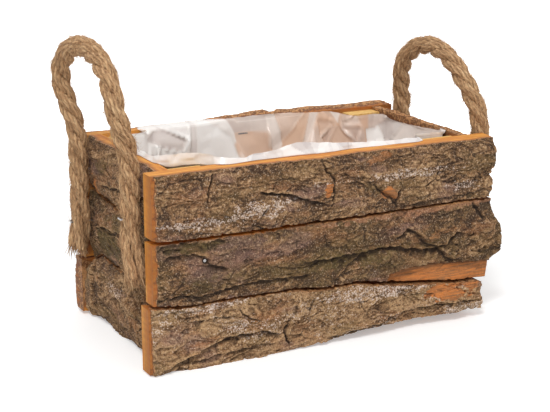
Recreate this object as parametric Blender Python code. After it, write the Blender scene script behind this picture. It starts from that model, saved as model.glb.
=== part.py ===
"""Bark basket: a rectangular planter box of bark-on log slabs with two rope handles and a film liner.

Metres, +Z up. +X runs along the basket's length, and its front faces -Y. The origin is under the
middle of the whole outline, on the floor. One handle leans out and the other in, so the box's own
middle is a little to +X of it, and an empty carries every piece there.

Three courses of slabs are pinned to four corner posts that stand on a plywood base panel. The
front and back slabs run past the end slabs. The box stands on flats of its bottom slabs, with the
base panel a little off the floor. Each handle is one rope: its two tails are stapled
to an end wall, and its loop flexes about a line just above the rim.
"""

import math
from dataclasses import dataclass

import bmesh
import bpy
import numpy as np
from mathutils import Matrix, Vector

# The box: heights of the courses, and the clear space between the walls' sawn inner faces
COURSE_HEIGHT = 0.051
COURSE_NAMES = ("bottom", "middle", "top")
RIM_HEIGHT = COURSE_HEIGHT * len(COURSE_NAMES)
INNER_LENGTH = 0.258
INNER_WIDTH = 0.140
END_OVERHANG = 0.021
CLEARANCE = 0.0003
OVERRUN = 0.010
BOX_MIDDLE_X = 0.0054

# Slabs: a sawn inner face, thin wane edges and a bark side that swells between them
LONG_EDGE_DEPTH = 0.0150
LONG_SWELL = 0.0017
LEFT_EDGE_DEPTH = 0.0105
RIGHT_EDGE_DEPTH = 0.0070
END_BARK_DEPTH = 0.0175
SLAB_GAP = 0.0012
SWELL_POWER = 2.5
LUMP_LENGTH = 0.070
LUMP_DEPTH = 0.0012
LUMP_SHARES = (1.0, 0.62, 0.41, 0.29)
LUMP_STRETCH = 1.9
LEDGE_DEPTH = 0.0036
LEDGE_REACH = 0.020
LEDGE_TAPER = 0.012
LEDGE_LIP = 0.0015
LEDGE_OUT_SHARE = 0.3
LONG_STATIONS = 24
END_STATIONS = 12
BARK_ROWS = 8

# Corner posts and base panel
POST_LENGTH = 0.030
POST_WIDTH = 0.014
POST_BELOW_RIM = 0.003
BASE_LIFT = 0.008
BASE_THICKNESS = 0.005

# Liner film: its lowest edge below the rim, the flap that its edge makes above that, and the folds
# in its walls. The shares are heights of the flap at even steps along each wall, from the left
# end or from the front.
LINER_WALL = 0.0003
LINER_BELOW_RIM = 0.005
LINER_FLAP = 0.0144
LINER_NECK = 0.001
LINER_FOLD = 0.0011
LINER_PITCH = 0.026
LINER_ROWS = 5
LINER_SEED = 51
LINER_FLAT_ROUND_STAPLE = 0.022
FRONT_FLAP_SHARES = (0.87, 0.80, 0.59, 0.90, 0.83, 0.64, 0.54, 0.40, 0.31)
BACK_FLAP_SHARES = (0.38, 0.45, 0.63, 0.55, 0.49, 0.51, 0.37, 0.19, 0.10)
LEFT_FLAP_SHARES = (0.87, 0.56, 0.45, 0.45, 0.38)
RIGHT_FLAP_SHARES = (0.31, 0.20, 0.02, 0.14, 0.10)

# Rope and its flexing line
ROPE_DIAMETER = 0.016
ROPE_SIDES = 12
FLEX_ABOVE_RIM = 0.002
FLEX_ARC_STEPS = 12
HORN_TRIM = 0.0056
LEG_STEPS = 4
TAIL_STEPS = 4
LOOP_STEPS = 22

# Handles: their legs from the box's inner sides, their arches above the flexing line, their
# leans away from the box, and their tails, front then back, below the flexing line
LEFT_LEG_INSET = 0.015
RIGHT_LEG_INSET = 0.010
LEFT_SPREAD = 0.003
LEFT_ARCH_START = 0.045
RIGHT_ARCH_START = 0.001
LEFT_ARCH_RISE = 0.037
RIGHT_ARCH_RISE = 0.060
LEFT_LEAN = 0.0117
RIGHT_LEAN = -0.0105
LEAN_RISE = 0.055
LEFT_TAIL_LENGTHS = (0.087, 0.093)
RIGHT_TAIL_LENGTHS = (0.089, 0.085)
LEFT_TAIL_DRIFT = 0.006

# Staples through the rope, and staples in the liner
HANDLE_CROWN = 0.0058
HANDLE_LEG = 0.026
LINER_CROWN = 0.0100
LINER_LEG = 0.0060
WIRE_WIDTH = 0.0012
WIRE_THICKNESS = 0.0006
LINER_STAPLE_BELOW_RIM = 0.012

# Pin nails
NAIL_LENGTH = 0.026
NAIL_DIAMETER = 0.0014
NAIL_HEAD_DIAMETER = 0.0026
NAIL_HEAD_THICKNESS = 0.0008
NAIL_TIP = 0.0020
NAIL_SINK = 0.0012
NAIL_SIDES = 6
BASE_NAIL_LENGTH = 0.014
LONG_NAIL_SHARE = 0.67
END_NAIL_SHARE = 0.40
LONG_NAIL_FROM_POST_MIDDLE = 0.0055

# Sizes worked out from those above
INNER_FACE_X = INNER_LENGTH / 2
INNER_FACE_Y = INNER_WIDTH / 2
BASE_TOP = BASE_LIFT + BASE_THICKNESS
ROPE_RADIUS = ROPE_DIAMETER / 2
ROPE_AXIS_X = INNER_FACE_X + END_BARK_DEPTH + CLEARANCE + ROPE_RADIUS
FLEX_HEIGHT = RIM_HEIGHT + FLEX_ABOVE_RIM
SMOOTH_ANGLE = math.radians(40)


@dataclass(frozen=True)
class Ledge:
    """One step in a slab's bark, which stands out above the ledge's line and back below it.

    The length shares run from the slab's start to its end. The height shares are in course
    heights above the floor, and the depth share is in ledge depths.
    """

    length_shares: tuple
    height_shares: tuple
    depth_share: float


@dataclass(frozen=True)
class Slab:
    """One slab: its wall, its course, its wane edges, where its ends stop and its main ledges.

    The edge shares are heights along the slab in course heights above the course's own base.
    start and end are where its sawn ends stand along the wall. The lip shares say how far the
    bark stands past the end, in bark depths, from the lower edge to the upper one.
    """

    wall: str
    course: int
    seed: int
    start: float
    end: float
    low_shares: tuple
    high_shares: tuple
    lip_shares: tuple = (0.0, 0.0)
    ledges: tuple = ()


@dataclass(frozen=True)
class Handle:
    """One rope handle: the side it is on, its loop's outline and lean, and its two tails.

    The tail lengths hang below the flexing line, front then back. The staple shares are heights
    above the floor in course heights.
    """

    side: str
    sign: int
    half_span: float
    spread: float
    arch_above_flex: float
    arch_rise: float
    lean: float
    tail_lengths: tuple
    tail_drift: float
    staple_shares: tuple


LONG_HALF = INNER_FACE_X + END_OVERHANG
END_HALF = INNER_FACE_Y - CLEARANCE
BOTTOM_SHIFT = -0.004
BOTTOM_CUT = 0.003

FRONT_SLABS = (
    Slab("front", 0, 11, -LONG_HALF + BOTTOM_SHIFT, LONG_HALF + BOTTOM_SHIFT - BOTTOM_CUT,
         (0.020, 0.000, 0.000, 0.000, 0.015, 0.050, 0.095, 0.145, 0.150, 0.145, 0.155),
         (1.030, 0.985, 0.985, 0.980, 0.970, 0.900, 0.900, 0.790, 0.720, 0.640, 0.600),
         ledges=(Ledge((0.01, 0.11, 0.21, 0.31, 0.38), (0.02, 0.22, 0.41, 0.43, 0.29), 0.95),
                 Ledge((0.48, 0.67, 0.82, 1.00), (0.10, 0.20, 0.35, 0.31), 0.70))),
    Slab("front", 1, 12, -LONG_HALF, LONG_HALF,
         (0.060, 0.010, 0.010, 0.010, -0.005, -0.070, -0.075, -0.185, -0.250, -0.330, -0.370),
         (0.985, 0.975, 0.970, 0.965, 0.970, 0.960, 0.970, 0.975, 0.975, 0.985, 0.985),
         (0.00, 0.15, 0.70, 0.55, 0.32, 0.08),
         (Ledge((0.40, 0.61, 0.69, 0.79, 0.84, 0.87, 0.94), (1.41, 1.42, 1.43, 1.29, 1.28, 1.12, 1.07), 1.0),
          Ledge((0.00, 0.22, 0.46), (1.14, 1.19, 1.21), 0.60),
          Ledge((0.01, 0.11, 0.15, 0.21), (1.76, 1.78, 1.61, 1.51), 0.80),
          Ledge((0.67, 0.73, 0.79, 0.85, 0.92), (1.49, 1.70, 1.42, 1.36, 1.50), 0.60),
          Ledge((0.67, 0.80, 1.00), (0.99, 1.03, 0.95), 0.90))),
    Slab("front", 2, 13, -LONG_HALF, LONG_HALF,
         (0.040, 0.010, 0.005, 0.000, 0.005, 0.000, 0.010, 0.005, 0.000, 0.010, 0.010),
         (1.000, 1.000, 1.000, 1.000, 1.000, 1.000, 1.000, 1.000, 1.000, 1.000, 1.000),
         (0.00, 0.12, 0.00, 0.15, 0.08, 0.00),
         (Ledge((0.27, 0.38, 0.50), (2.60, 2.48, 2.25), 0.95),
          Ledge((0.60, 0.78, 0.97), (2.05, 2.08, 2.12), 0.45))),
)
BACK_SLABS = (
    Slab("back", 0, 21, -LONG_HALF, LONG_HALF + BOTTOM_SHIFT,
         (0.060, 0.020, 0.000, 0.000, 0.040, 0.030, 0.010, 0.000, 0.000, 0.050, 0.050),
         (0.960, 0.980, 1.020, 1.010, 0.970, 0.930, 0.950, 0.990, 1.000, 0.960, 0.940)),
    Slab("back", 1, 22, -LONG_HALF + BOTTOM_CUT, LONG_HALF,
         (-0.020, 0.000, 0.040, 0.030, -0.010, -0.050, -0.030, 0.010, 0.020, -0.020, -0.040),
         (0.990, 0.970, 0.960, 0.990, 1.020, 1.010, 0.980, 0.960, 0.970, 1.000, 0.990)),
    Slab("back", 2, 23, -LONG_HALF, LONG_HALF,
         (0.010, -0.010, -0.020, 0.010, 0.040, 0.030, 0.000, -0.020, -0.010, 0.020, 0.010),
         (1.000, 1.000, 1.000, 1.000, 1.000, 1.000, 1.000, 1.000, 1.000, 1.000, 1.000)),
)
LEFT_SLABS = (
    Slab("left", 0, 31, -END_HALF, END_HALF,
         (0.080, 0.060, 0.020, 0.000, 0.000, 0.010, 0.030),
         (0.900, 0.960, 1.050, 1.080, 1.080, 1.130, 0.900)),
    Slab("left", 1, 32, -END_HALF, END_HALF,
         (-0.070, -0.010, 0.080, 0.110, 0.110, 0.160, -0.070),
         (1.080, 1.060, 1.040, 1.050, 1.080, 1.110, 1.110)),
    Slab("left", 2, 33, -END_HALF, END_HALF,
         (0.110, 0.090, 0.070, 0.080, 0.110, 0.140, 0.140),
         (0.990, 1.000, 1.000, 1.000, 1.000, 1.000, 1.000)),
)
RIGHT_SLABS = (
    Slab("right", 0, 41, -END_HALF, END_HALF,
         (0.030, 0.010, 0.030, 0.040, 0.000, 0.000, 0.020),
         (0.980, 1.000, 0.960, 0.930, 0.960, 1.010, 1.030)),
    Slab("right", 1, 42, -END_HALF, END_HALF,
         (0.010, 0.030, -0.010, -0.040, -0.010, 0.040, 0.060),
         (0.960, 0.990, 1.020, 1.010, 0.970, 0.950, 0.970)),
    Slab("right", 2, 43, -END_HALF, END_HALF,
         (-0.010, 0.020, 0.050, 0.040, 0.000, -0.020, 0.000),
         (0.990, 1.000, 1.000, 1.000, 1.000, 1.000, 0.990)),
)
SLABS = FRONT_SLABS + BACK_SLABS + LEFT_SLABS + RIGHT_SLABS

HANDLES = (
    Handle("left", -1, INNER_FACE_Y - LEFT_LEG_INSET, LEFT_SPREAD, LEFT_ARCH_START, LEFT_ARCH_RISE,
           LEFT_LEAN, LEFT_TAIL_LENGTHS, LEFT_TAIL_DRIFT, (2.28, 1.70)),
    Handle("right", 1, INNER_FACE_Y - RIGHT_LEG_INSET, 0, RIGHT_ARCH_START, RIGHT_ARCH_RISE,
           RIGHT_LEAN, RIGHT_TAIL_LENGTHS, 0, (2.20, 2.22)),
)


def material(name, colour, roughness, metallic=0.0):
    """A Principled material with one colour."""
    made = bpy.data.materials.new(name)
    made.use_nodes = True
    shader = made.node_tree.nodes["Principled BSDF"]
    shader.inputs["Base Color"].default_value = (*colour, 1.0)
    shader.inputs["Roughness"].default_value = roughness
    shader.inputs["Metallic"].default_value = metallic
    return made


def joined(shapes):
    """Several (points, faces) shapes as one."""
    points, faces, count = [], [], 0
    for shape_points, shape_faces in shapes:
        points.append(np.asarray(shape_points, float))
        faces += [[count + i for i in face] for face in shape_faces]
        count += len(shape_points)
    return np.concatenate(points), faces


def placed(shape, matrix):
    """A shape moved by a matrix."""
    points, faces = shape
    turn = np.array(matrix.to_3x3())
    return points @ turn.T + np.array(matrix.translation), faces


def mesh_object(name, shape, finish, origin=(0, 0, 0), smooth=False):
    """A closed object whose faces point out, with its origin where it is asked for."""
    points, faces = shape
    mesh = bpy.data.meshes.new(name)
    mesh.from_pydata((points - np.array(origin)).tolist(), [], faces)
    work = bmesh.new()
    work.from_mesh(mesh)
    bmesh.ops.recalc_face_normals(work, faces=work.faces)
    work.to_mesh(mesh)
    work.free()
    if smooth:
        mesh.shade_smooth()
        mesh.set_sharp_from_angle(angle=SMOOTH_ANGLE)
    mesh.materials.append(finish)
    made = bpy.data.objects.new(name, mesh)
    made.location = origin
    bpy.context.collection.objects.link(made)
    return made


def cut(target, shapes, operation="DIFFERENCE"):
    """Cuts an object with closed shapes, held by one hidden cutter."""
    cutter = mesh_object(target.name + "_cutter", joined(shapes), target.data.materials[0])
    cutter.hide_render = True
    cutter.display_type = "WIRE"
    boolean = target.modifiers.new("cut", "BOOLEAN")
    boolean.operation = operation
    boolean.object = cutter
    boolean.solver = "EXACT"


def turned(profile, sides):
    """A solid turned about +Z from (radius, height) rows; a zero radius closes to a point."""
    points, rings = [], []
    for radius, height in profile:
        count = sides if radius else 1
        angles = [2 * math.pi * k / sides for k in range(count)]
        rings.append(list(range(len(points), len(points) + count)))
        points += [(radius * math.cos(a), radius * math.sin(a), height) for a in angles]
    faces = []
    for below, above in zip(rings, rings[1:]):
        for k in range(sides):
            quad = [below[k % len(below)], below[(k + 1) % len(below)],
                    above[(k + 1) % len(above)], above[k % len(above)]]
            faces.append(list(dict.fromkeys(quad)))
    faces += [ring for ring in (rings[0], rings[-1]) if len(ring) > 1]
    return np.array(points), faces


def extruded(outline, start, end):
    """A solid with an outline in the XZ plane, from start to end along Y."""
    count = len(outline)
    points = [(x, y, z) for y in (start, end) for x, z in outline]
    sides = [[k, (k + 1) % count, count + (k + 1) % count, count + k] for k in range(count)]
    return np.array(points), sides + [list(range(count)), list(range(count, 2 * count))]


def block(low, high):
    """A box between two corners."""
    outline = [(low[0], low[2]), (high[0], low[2]), (high[0], high[2]), (low[0], high[2])]
    return extruded(outline, low[1], high[1])


def tube(line, radius, sides):
    """A round tube along a line that never runs along X."""
    line = np.asarray(line, float)
    ahead = np.gradient(line, axis=0)
    ahead /= np.linalg.norm(ahead, axis=1)[:, None]
    across = np.array([1.0, 0, 0]) - ahead[:, :1] * ahead
    across /= np.linalg.norm(across, axis=1)[:, None]
    other = np.cross(ahead, across)
    angles = 2 * np.pi * np.arange(sides) / sides
    rings = (line[:, None] + radius * (np.cos(angles)[None, :, None] * across[:, None]
                                       + np.sin(angles)[None, :, None] * other[:, None]))
    faces = [[i * sides + k, i * sides + (k + 1) % sides,
              (i + 1) * sides + (k + 1) % sides, (i + 1) * sides + k]
             for i in range(len(line) - 1) for k in range(sides)]
    last = (len(line) - 1) * sides
    faces += [list(range(sides)), list(range(last, last + sides))]
    return rings.reshape(-1, 3), faces


# Walls and slabs

def wall_matrix(wall):
    """From a wall's own axes, (along the wall, out through the bark, up), to the basket's."""
    along, out, face = {
        "front": ((1, 0, 0), (0, -1, 0), INNER_FACE_Y),
        "back": ((1, 0, 0), (0, 1, 0), INNER_FACE_Y),
        "left": ((0, 1, 0), (-1, 0, 0), INNER_FACE_X),
        "right": ((0, 1, 0), (1, 0, 0), INNER_FACE_X),
    }[wall]
    matrix = Matrix.Identity(4)
    for row in range(3):
        matrix[row][0], matrix[row][1] = along[row], out[row]
        matrix[row][3] = face * out[row]
    return matrix


def edge_depth(wall):
    """How thick a wall's slabs are at their wane edges."""
    return {"left": LEFT_EDGE_DEPTH, "right": RIGHT_EDGE_DEPTH}.get(wall, LONG_EDGE_DEPTH)


def bark_limit(wall):
    """How far out a wall's bark may stand: under a rope it stops at the rope."""
    long_limit = LONG_EDGE_DEPTH + LONG_SWELL + LUMP_DEPTH
    return END_BARK_DEPTH if wall in ("left", "right") else long_limit


def knots(shares, places):
    """Shares given at even steps, read at places from 0 to 1."""
    return np.interp(places, np.linspace(0, 1, len(shares)), shares)


def lumps(along, up, seed):
    """The bark's slow lumps, from -1 to 1: crossed sine waves with seeded bearings and phases."""
    draws = np.random.RandomState(seed)
    total = np.zeros(np.broadcast(along, up).shape)
    for share in LUMP_SHARES:
        bearing, phase = draws.uniform(-1, 1), draws.uniform(0, 2 * math.pi)
        path = along * math.cos(bearing) + up * LUMP_STRETCH * math.sin(bearing)
        total += share * np.sin(2 * math.pi * path / (LUMP_LENGTH * share) + phase)
    return total / sum(LUMP_SHARES)


def smooth_step(share):
    """A share held between 0 and 1 and eased at both ends."""
    share = np.clip(share, 0, 1)
    return share * share * (3 - 2 * share)


def ledge_depth(slab, along, height):
    """How far a slab's ledges bring its bark out above their lines and back below them."""
    share = (along - slab.start) / (slab.end - slab.start)
    total = np.zeros(np.broadcast(along, height).shape)
    for ledge in slab.ledges:
        over = height - ledge_height(slab, ledge, along)
        side = np.where(over > 0, LEDGE_OUT_SHARE, LEDGE_OUT_SHARE - 1)
        inside = np.minimum(share - ledge.length_shares[0], ledge.length_shares[-1] - share)
        strength = smooth_step(1 + inside * (slab.end - slab.start) / LEDGE_TAPER)
        total += LEDGE_DEPTH * ledge.depth_share * side * strength * smooth_step(1 - np.abs(over) / LEDGE_REACH)
    return total


def bark_depth(slab, along, height, across):
    """Distance from the sawn face to the bark, where across runs from 0 to 1 up the slab."""
    edge, limit = edge_depth(slab.wall), bark_limit(slab.wall)
    crown = 1 - np.abs(2 * across - 1) ** SWELL_POWER
    swell = (limit - LUMP_DEPTH - edge) * crown
    rough = LUMP_DEPTH * lumps(along, height, slab.seed) + ledge_depth(slab, along, height)
    return np.minimum(edge + swell + rough, limit)


def slab_edges(slab, along):
    """Heights of a slab's lower and upper edge at places along the wall."""
    places = (along - slab.start) / (slab.end - slab.start)
    base = slab.course * COURSE_HEIGHT
    gap_below = SLAB_GAP / 2 if slab.course else 0
    gap_above = SLAB_GAP / 2 if slab.course < len(COURSE_NAMES) - 1 else 0
    low = base + COURSE_HEIGHT * knots(slab.low_shares, places) + gap_below
    return low, base + COURSE_HEIGHT * knots(slab.high_shares, places) - gap_above


def station_count(slab):
    """How many steps a slab's grid of bark points has along it."""
    return LONG_STATIONS if slab.wall in ("front", "back") else END_STATIONS


def ledge_height(slab, ledge, along):
    """Height of a ledge's line at a place along its slab."""
    share = (along - slab.start) / (slab.end - slab.start)
    return COURSE_HEIGHT * np.interp(share, ledge.length_shares, ledge.height_shares)


def ledge_row(slab, ledge):
    """The row of bark points just above a ledge, from how high the ledge lies at its middle."""
    along = slab.start + (slab.end - slab.start) * (ledge.length_shares[0] + ledge.length_shares[-1]) / 2
    low, high = slab_edges(slab, along)
    share = (ledge_height(slab, ledge, along) - low) / (high - low)
    return int(np.clip(round(BARK_ROWS * share), 2, BARK_ROWS - 1))


def column_heights(slab, along):
    """Heights of one column of bark points, two of them at the lip of each ledge that it crosses.

    A ledge keeps its two rows all along, and the other rows are spaced evenly between.
    """
    low, high = slab_edges(slab, along)
    share = (along - slab.start) / (slab.end - slab.start)
    crossed = [ledge for ledge in slab.ledges if ledge.length_shares[0] <= share <= ledge.length_shares[-1]]
    rows, heights = [0], [low]
    for ledge in sorted(crossed, key=lambda each: ledge_height(slab, each, along)):
        row = max(ledge_row(slab, ledge), rows[-1] + 2)
        below = ledge_height(slab, ledge, along) - LEDGE_LIP / 2
        clear_below = below - heights[-1] > LEDGE_LIP * (row - 1 - rows[-1])
        clear_above = high - below > LEDGE_LIP * (BARK_ROWS - row + 1)
        if row < BARK_ROWS and clear_below and clear_above:
            rows += [row - 1, row]
            heights += [below, below + LEDGE_LIP]
    return np.interp(np.arange(BARK_ROWS + 1), rows + [BARK_ROWS], heights + [high])


def depth_at(slab, along, height):
    """Depth of a slab's bark at one place on its wall, read between its grid's points."""
    place = (along - slab.start) / (slab.end - slab.start) * station_count(slab)
    near = math.floor(place)
    depths = []
    for station in (near, near + 1):
        sawn = slab.start + (slab.end - slab.start) * station / station_count(slab)
        rows = column_heights(slab, sawn)
        across = (rows - rows[0]) / (rows[-1] - rows[0])
        depths.append(np.interp(height, rows, bark_depth(slab, sawn, rows, across)))
    return float(depths[0] + (place - near) * (depths[1] - depths[0]))


def slab_shape(slab):
    """A grid of bark points, closed by edge strips and one sawn inner face."""
    stations = station_count(slab)
    share = np.linspace(0, 1, stations + 1)[:, None]
    height = np.stack([column_heights(slab, place) for place in slab.start + share[:, 0] * (slab.end - slab.start)])
    sawn = np.broadcast_to(slab.start + share * (slab.end - slab.start), height.shape)
    across = (height - height[:, :1]) / (height[:, -1:] - height[:, :1])
    lip = knots(slab.lip_shares, across) * bark_limit(slab.wall)
    bark = np.stack([sawn + lip * share ** (stations / 2),
                     bark_depth(slab, sawn, height, across), height], -1)
    inner = np.stack([sawn, np.zeros_like(sawn), height], -1)
    index = np.arange(height.size).reshape(height.shape)
    quads = np.stack([index[:-1, :-1], index[1:, :-1], index[1:, 1:], index[:-1, 1:]], -1)
    rim = np.concatenate([index[:-1, 0], index[-1, :-1], index[:0:-1, -1], index[0, :0:-1]])
    inside = height.size + np.arange(len(rim))
    strips = [[rim[k - 1], rim[k], inside[k], inside[k - 1]] for k in range(len(rim))]
    points = np.concatenate([bark.reshape(-1, 3), inner.reshape(-1, 3)[rim]])
    faces = quads.reshape(-1, 4).tolist() + [[int(i) for i in strip] for strip in strips]
    return placed((points, faces + [inside.tolist()]), wall_matrix(slab.wall))


# Nails

def nail_profile(length, grow=0.0, mouth=0.0):
    """A nail's outline from its tip up; grow widens it for its hole, mouth opens its pocket."""
    shank, head = NAIL_DIAMETER / 2 + grow, NAIL_HEAD_DIAMETER / 2 + grow
    top = NAIL_HEAD_THICKNESS + mouth
    return [(0, -length - grow), (shank, NAIL_TIP - length - grow), (shank, -grow),
            (head, -grow), (head, top)]


def nail_matrix(point, out):
    """A frame at a nail's head, with +Z out of the wood."""
    turn = Vector((0, 0, 1)).rotation_difference(Vector(out)).to_matrix().to_4x4()
    return Matrix.Translation(point) @ turn


def nails(name, matrix, length, finish, holes, targets):
    """Makes one nail, and notes its hole against each piece that it passes."""
    mesh_object(name, placed(turned(nail_profile(length), NAIL_SIDES), matrix), finish, smooth=True)
    hole = placed(turned(nail_profile(length, CLEARANCE, OVERRUN), NAIL_SIDES), matrix)
    for target in targets:
        holes.setdefault(target, []).append(hole)


def post_name(sign_x, sign_y):
    """A corner post's name from the side and the wall it stands at."""
    wall = "front" if sign_y < 0 else "back"
    side = "left" if sign_x < 0 else "right"
    return f"{wall}_{side}_post"


def slab_name(slab):
    """A slab's name from its wall and course."""
    kind = "slab" if slab.wall in ("front", "back") else "end_slab"
    return f"{slab.wall}_{kind}_{COURSE_NAMES[slab.course]}"


def slab_nails(slab, finish, holes):
    """The two nails of a slab, each into the post behind its end."""
    matrix = wall_matrix(slab.wall)
    for sign in (-1, 1):
        if slab.wall in ("front", "back"):
            along = sign * (INNER_FACE_X - CLEARANCE - POST_LENGTH / 2 - LONG_NAIL_FROM_POST_MIDDLE)
            share, side = LONG_NAIL_SHARE, ("left", "right")[sign > 0]
            signs = (sign, -1 if slab.wall == "front" else 1)
        else:
            along = sign * (INNER_FACE_Y - CLEARANCE - POST_WIDTH / 2)
            share, side = END_NAIL_SHARE, ("front", "back")[sign > 0]
            signs = (-1 if slab.wall == "left" else 1, sign)
        low, high = slab_edges(slab, along)
        height = low + share * (high - low)
        seat = depth_at(slab, along, height) - NAIL_SINK - NAIL_HEAD_THICKNESS
        local = Matrix.Translation((along, seat, height)) @ nail_matrix((0, 0, 0), (0, 1, 0))
        name = f"{slab.wall}_{COURSE_NAMES[slab.course]}_nail_{side}"
        nails(name, matrix @ local, NAIL_LENGTH, finish, holes, (slab_name(slab), post_name(*signs)))


# Corner posts and base

def corner_post(sign_x, sign_y, finish):
    """One sawn lath, standing on the base panel in a corner."""
    outer_x, outer_y = INNER_FACE_X - CLEARANCE, INNER_FACE_Y - CLEARANCE
    corner_x = sorted((sign_x * outer_x, sign_x * (outer_x - POST_LENGTH)))
    corner_y = sorted((sign_y * outer_y, sign_y * (outer_y - POST_WIDTH)))
    foot, top = BASE_TOP + CLEARANCE, RIM_HEIGHT - POST_BELOW_RIM
    shape = block((corner_x[0], corner_y[0], foot), (corner_x[1], corner_y[1], top))
    return mesh_object(post_name(sign_x, sign_y), shape, finish)


def base_panel(finish):
    """The plywood panel between the bottom slabs."""
    reach_x, reach_y = INNER_FACE_X - CLEARANCE, INNER_FACE_Y - CLEARANCE
    low, high = (-reach_x, -reach_y, BASE_LIFT), (reach_x, reach_y, BASE_TOP)
    return mesh_object("base_panel", block(low, high), finish)


def base_nails(finish, holes):
    """One nail up through the base panel into each post."""
    middle_x = INNER_FACE_X - CLEARANCE - POST_LENGTH / 2
    middle_y = INNER_FACE_Y - CLEARANCE - POST_WIDTH / 2
    for sign_x in (-1, 1):
        for sign_y in (-1, 1):
            sunk = BASE_LIFT + NAIL_SINK + NAIL_HEAD_THICKNESS
            seat = (sign_x * middle_x, sign_y * middle_y, sunk)
            post = post_name(sign_x, sign_y)
            nails(f"base_nail_{post[:-5]}", nail_matrix(seat, (0, 0, -1)), BASE_NAIL_LENGTH,
                  finish, holes, ("base_panel", post))


# Liner

def liner_outline(inset):
    """The film's outline from above, stepping round the four posts, drawn in by inset."""
    wall_x, wall_y = (face - CLEARANCE - inset for face in (INNER_FACE_X, INNER_FACE_Y))
    post_x = INNER_FACE_X - 2 * CLEARANCE - POST_LENGTH - inset
    post_y = INNER_FACE_Y - 2 * CLEARANCE - POST_WIDTH - inset
    quarter = [(wall_x, post_y), (post_x, post_y), (post_x, wall_y)]
    corner = [(-x, y) for x, y in quarter[::-1]]
    half = quarter + corner
    return half + [(-x, -y) for x, y in half]


def edges_round(outline):
    """The straight edges of a closed outline, as pairs of its corners."""
    return list(zip(outline, outline[1:] + outline[:1]))


def liner_places(inset):
    """Points round the film seen from above, each edge stepped evenly, the steps from the outer skin."""
    points = []
    for (start, end), outer in zip(edges_round(liner_outline(inset)), edges_round(liner_outline(0))):
        count = max(1, round(math.dist(*outer) / LINER_PITCH))
        share = np.arange(count)[:, None] / count
        points.append(np.array(start) * (1 - share) + np.array(end) * share)
    return np.concatenate(points)


def liner_inward():
    """The way into the box at each point round the film, and zero at its corners."""
    ways = []
    for start, end in edges_round(liner_outline(0)):
        count = max(1, round(math.dist(start, end) / LINER_PITCH))
        ahead = (np.array(end) - np.array(start)) / math.dist(start, end)
        way = np.tile([-ahead[1], ahead[0]], (count, 1))
        way[0] = 0
        ways.append(way)
    return np.concatenate(ways)


def flap_top(places):
    """How high the film's edge stands round the box, from each wall's shares by nearness to it."""
    x, y = places.T
    length, width = (x / INNER_FACE_X + 1) / 2, (y / INNER_FACE_Y + 1) / 2
    walls = ((FRONT_FLAP_SHARES, length, INNER_FACE_Y + y), (BACK_FLAP_SHARES, length, INNER_FACE_Y - y),
             (LEFT_FLAP_SHARES, width, INNER_FACE_X + x), (RIGHT_FLAP_SHARES, width, INNER_FACE_X - x))
    weights = [1 / (away + POST_WIDTH / 4) ** 2 for _, _, away in walls]
    total = sum(weight * knots(shares, place) for weight, (shares, place, _) in zip(weights, walls))
    return RIM_HEIGHT - LINER_BELOW_RIM + LINER_FLAP * total / sum(weights)


def fold_depth(places, heights):
    """How far the film folds in from the wall at each row and place; it lies flat round its staples."""
    draws = np.random.RandomState(LINER_SEED).uniform(0, 1, heights.shape)
    seats = ((INNER_FACE_X, 0), (-INNER_FACE_X, 0), (0, INNER_FACE_Y), (0, -INNER_FACE_Y))
    away = np.min([np.hypot(np.linalg.norm(places - np.array(seat), axis=1),
                            heights - (RIM_HEIGHT - LINER_STAPLE_BELOW_RIM)) for seat in seats], axis=0)
    return LINER_FOLD * draws * (away > LINER_FLAT_ROUND_STAPLE)


def liner(finish):
    """An open tray of film on the base panel, with coarse folds in its walls and a flap for its edge.

    Its floor is drawn in by a whole fold, so that no fold overhangs it. Both skins have the same
    triangles, so that they stay apart where the film is folded.
    """
    floor, outer, top = BASE_TOP + CLEARANCE, liner_places(0), flap_top(liner_places(0))
    neck = np.minimum(RIM_HEIGHT + CLEARANCE, top - LINER_NECK)
    up = floor + np.linspace(0, 1, LINER_ROWS + 1)[:, None] * (neck - floor)
    heights = np.concatenate([up, top[None]])
    shift = fold_depth(outer, heights)
    shift[0] = LINER_FOLD
    skins = []
    for inset in (0, LINER_WALL):
        plan = liner_places(inset)[None] + shift[..., None] * liner_inward()
        lift = np.where(np.arange(len(heights)) == 0, inset, 0)[:, None]
        skins.append(np.concatenate([plan, (heights + lift)[..., None]], -1))
    index = np.arange(heights.size).reshape(heights.shape)
    beside = np.roll(index, -1, axis=1)
    skin = np.concatenate([np.stack([index[:-1], beside[:-1], beside[1:]], -1).reshape(-1, 3),
                           np.stack([index[:-1], beside[1:], index[1:]], -1).reshape(-1, 3)])
    edge = np.stack([index[-1], beside[-1], beside[-1] + heights.size, index[-1] + heights.size], -1)
    faces = skin.tolist() + (skin + heights.size).tolist() + edge.tolist()
    caps = [index[0].tolist(), (index[0] + heights.size).tolist()]
    return mesh_object("liner", (np.stack(skins).reshape(-1, 3), faces + caps), finish)


# Staples

def staple_shape(crown, leg):
    """A staple whose crown runs along X, its legs pointing along -Y from zero."""
    half, thick = crown / 2, WIRE_THICKNESS
    outline = [(-half, -leg), (thick - half, -leg), (thick - half, 0), (half - thick, 0),
               (half - thick, -leg), (half, -leg), (half, thick), (-half, thick)]
    points, faces = extruded(outline, -WIRE_WIDTH / 2, WIRE_WIDTH / 2)
    return np.stack([points[:, 0], points[:, 2], -points[:, 1]], -1), faces


def staple_slots(crown, leg):
    """The two slots that a staple's legs leave, with clearance round them."""
    half, wide = crown / 2 + CLEARANCE, WIRE_WIDTH / 2 + CLEARANCE
    inner = crown / 2 - WIRE_THICKNESS - CLEARANCE
    low, high = -leg - CLEARANCE, OVERRUN
    return joined([block((start, low, -wide), (end, high, wide))
                   for start, end in ((-half, -inner), (inner, half))])


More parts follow.
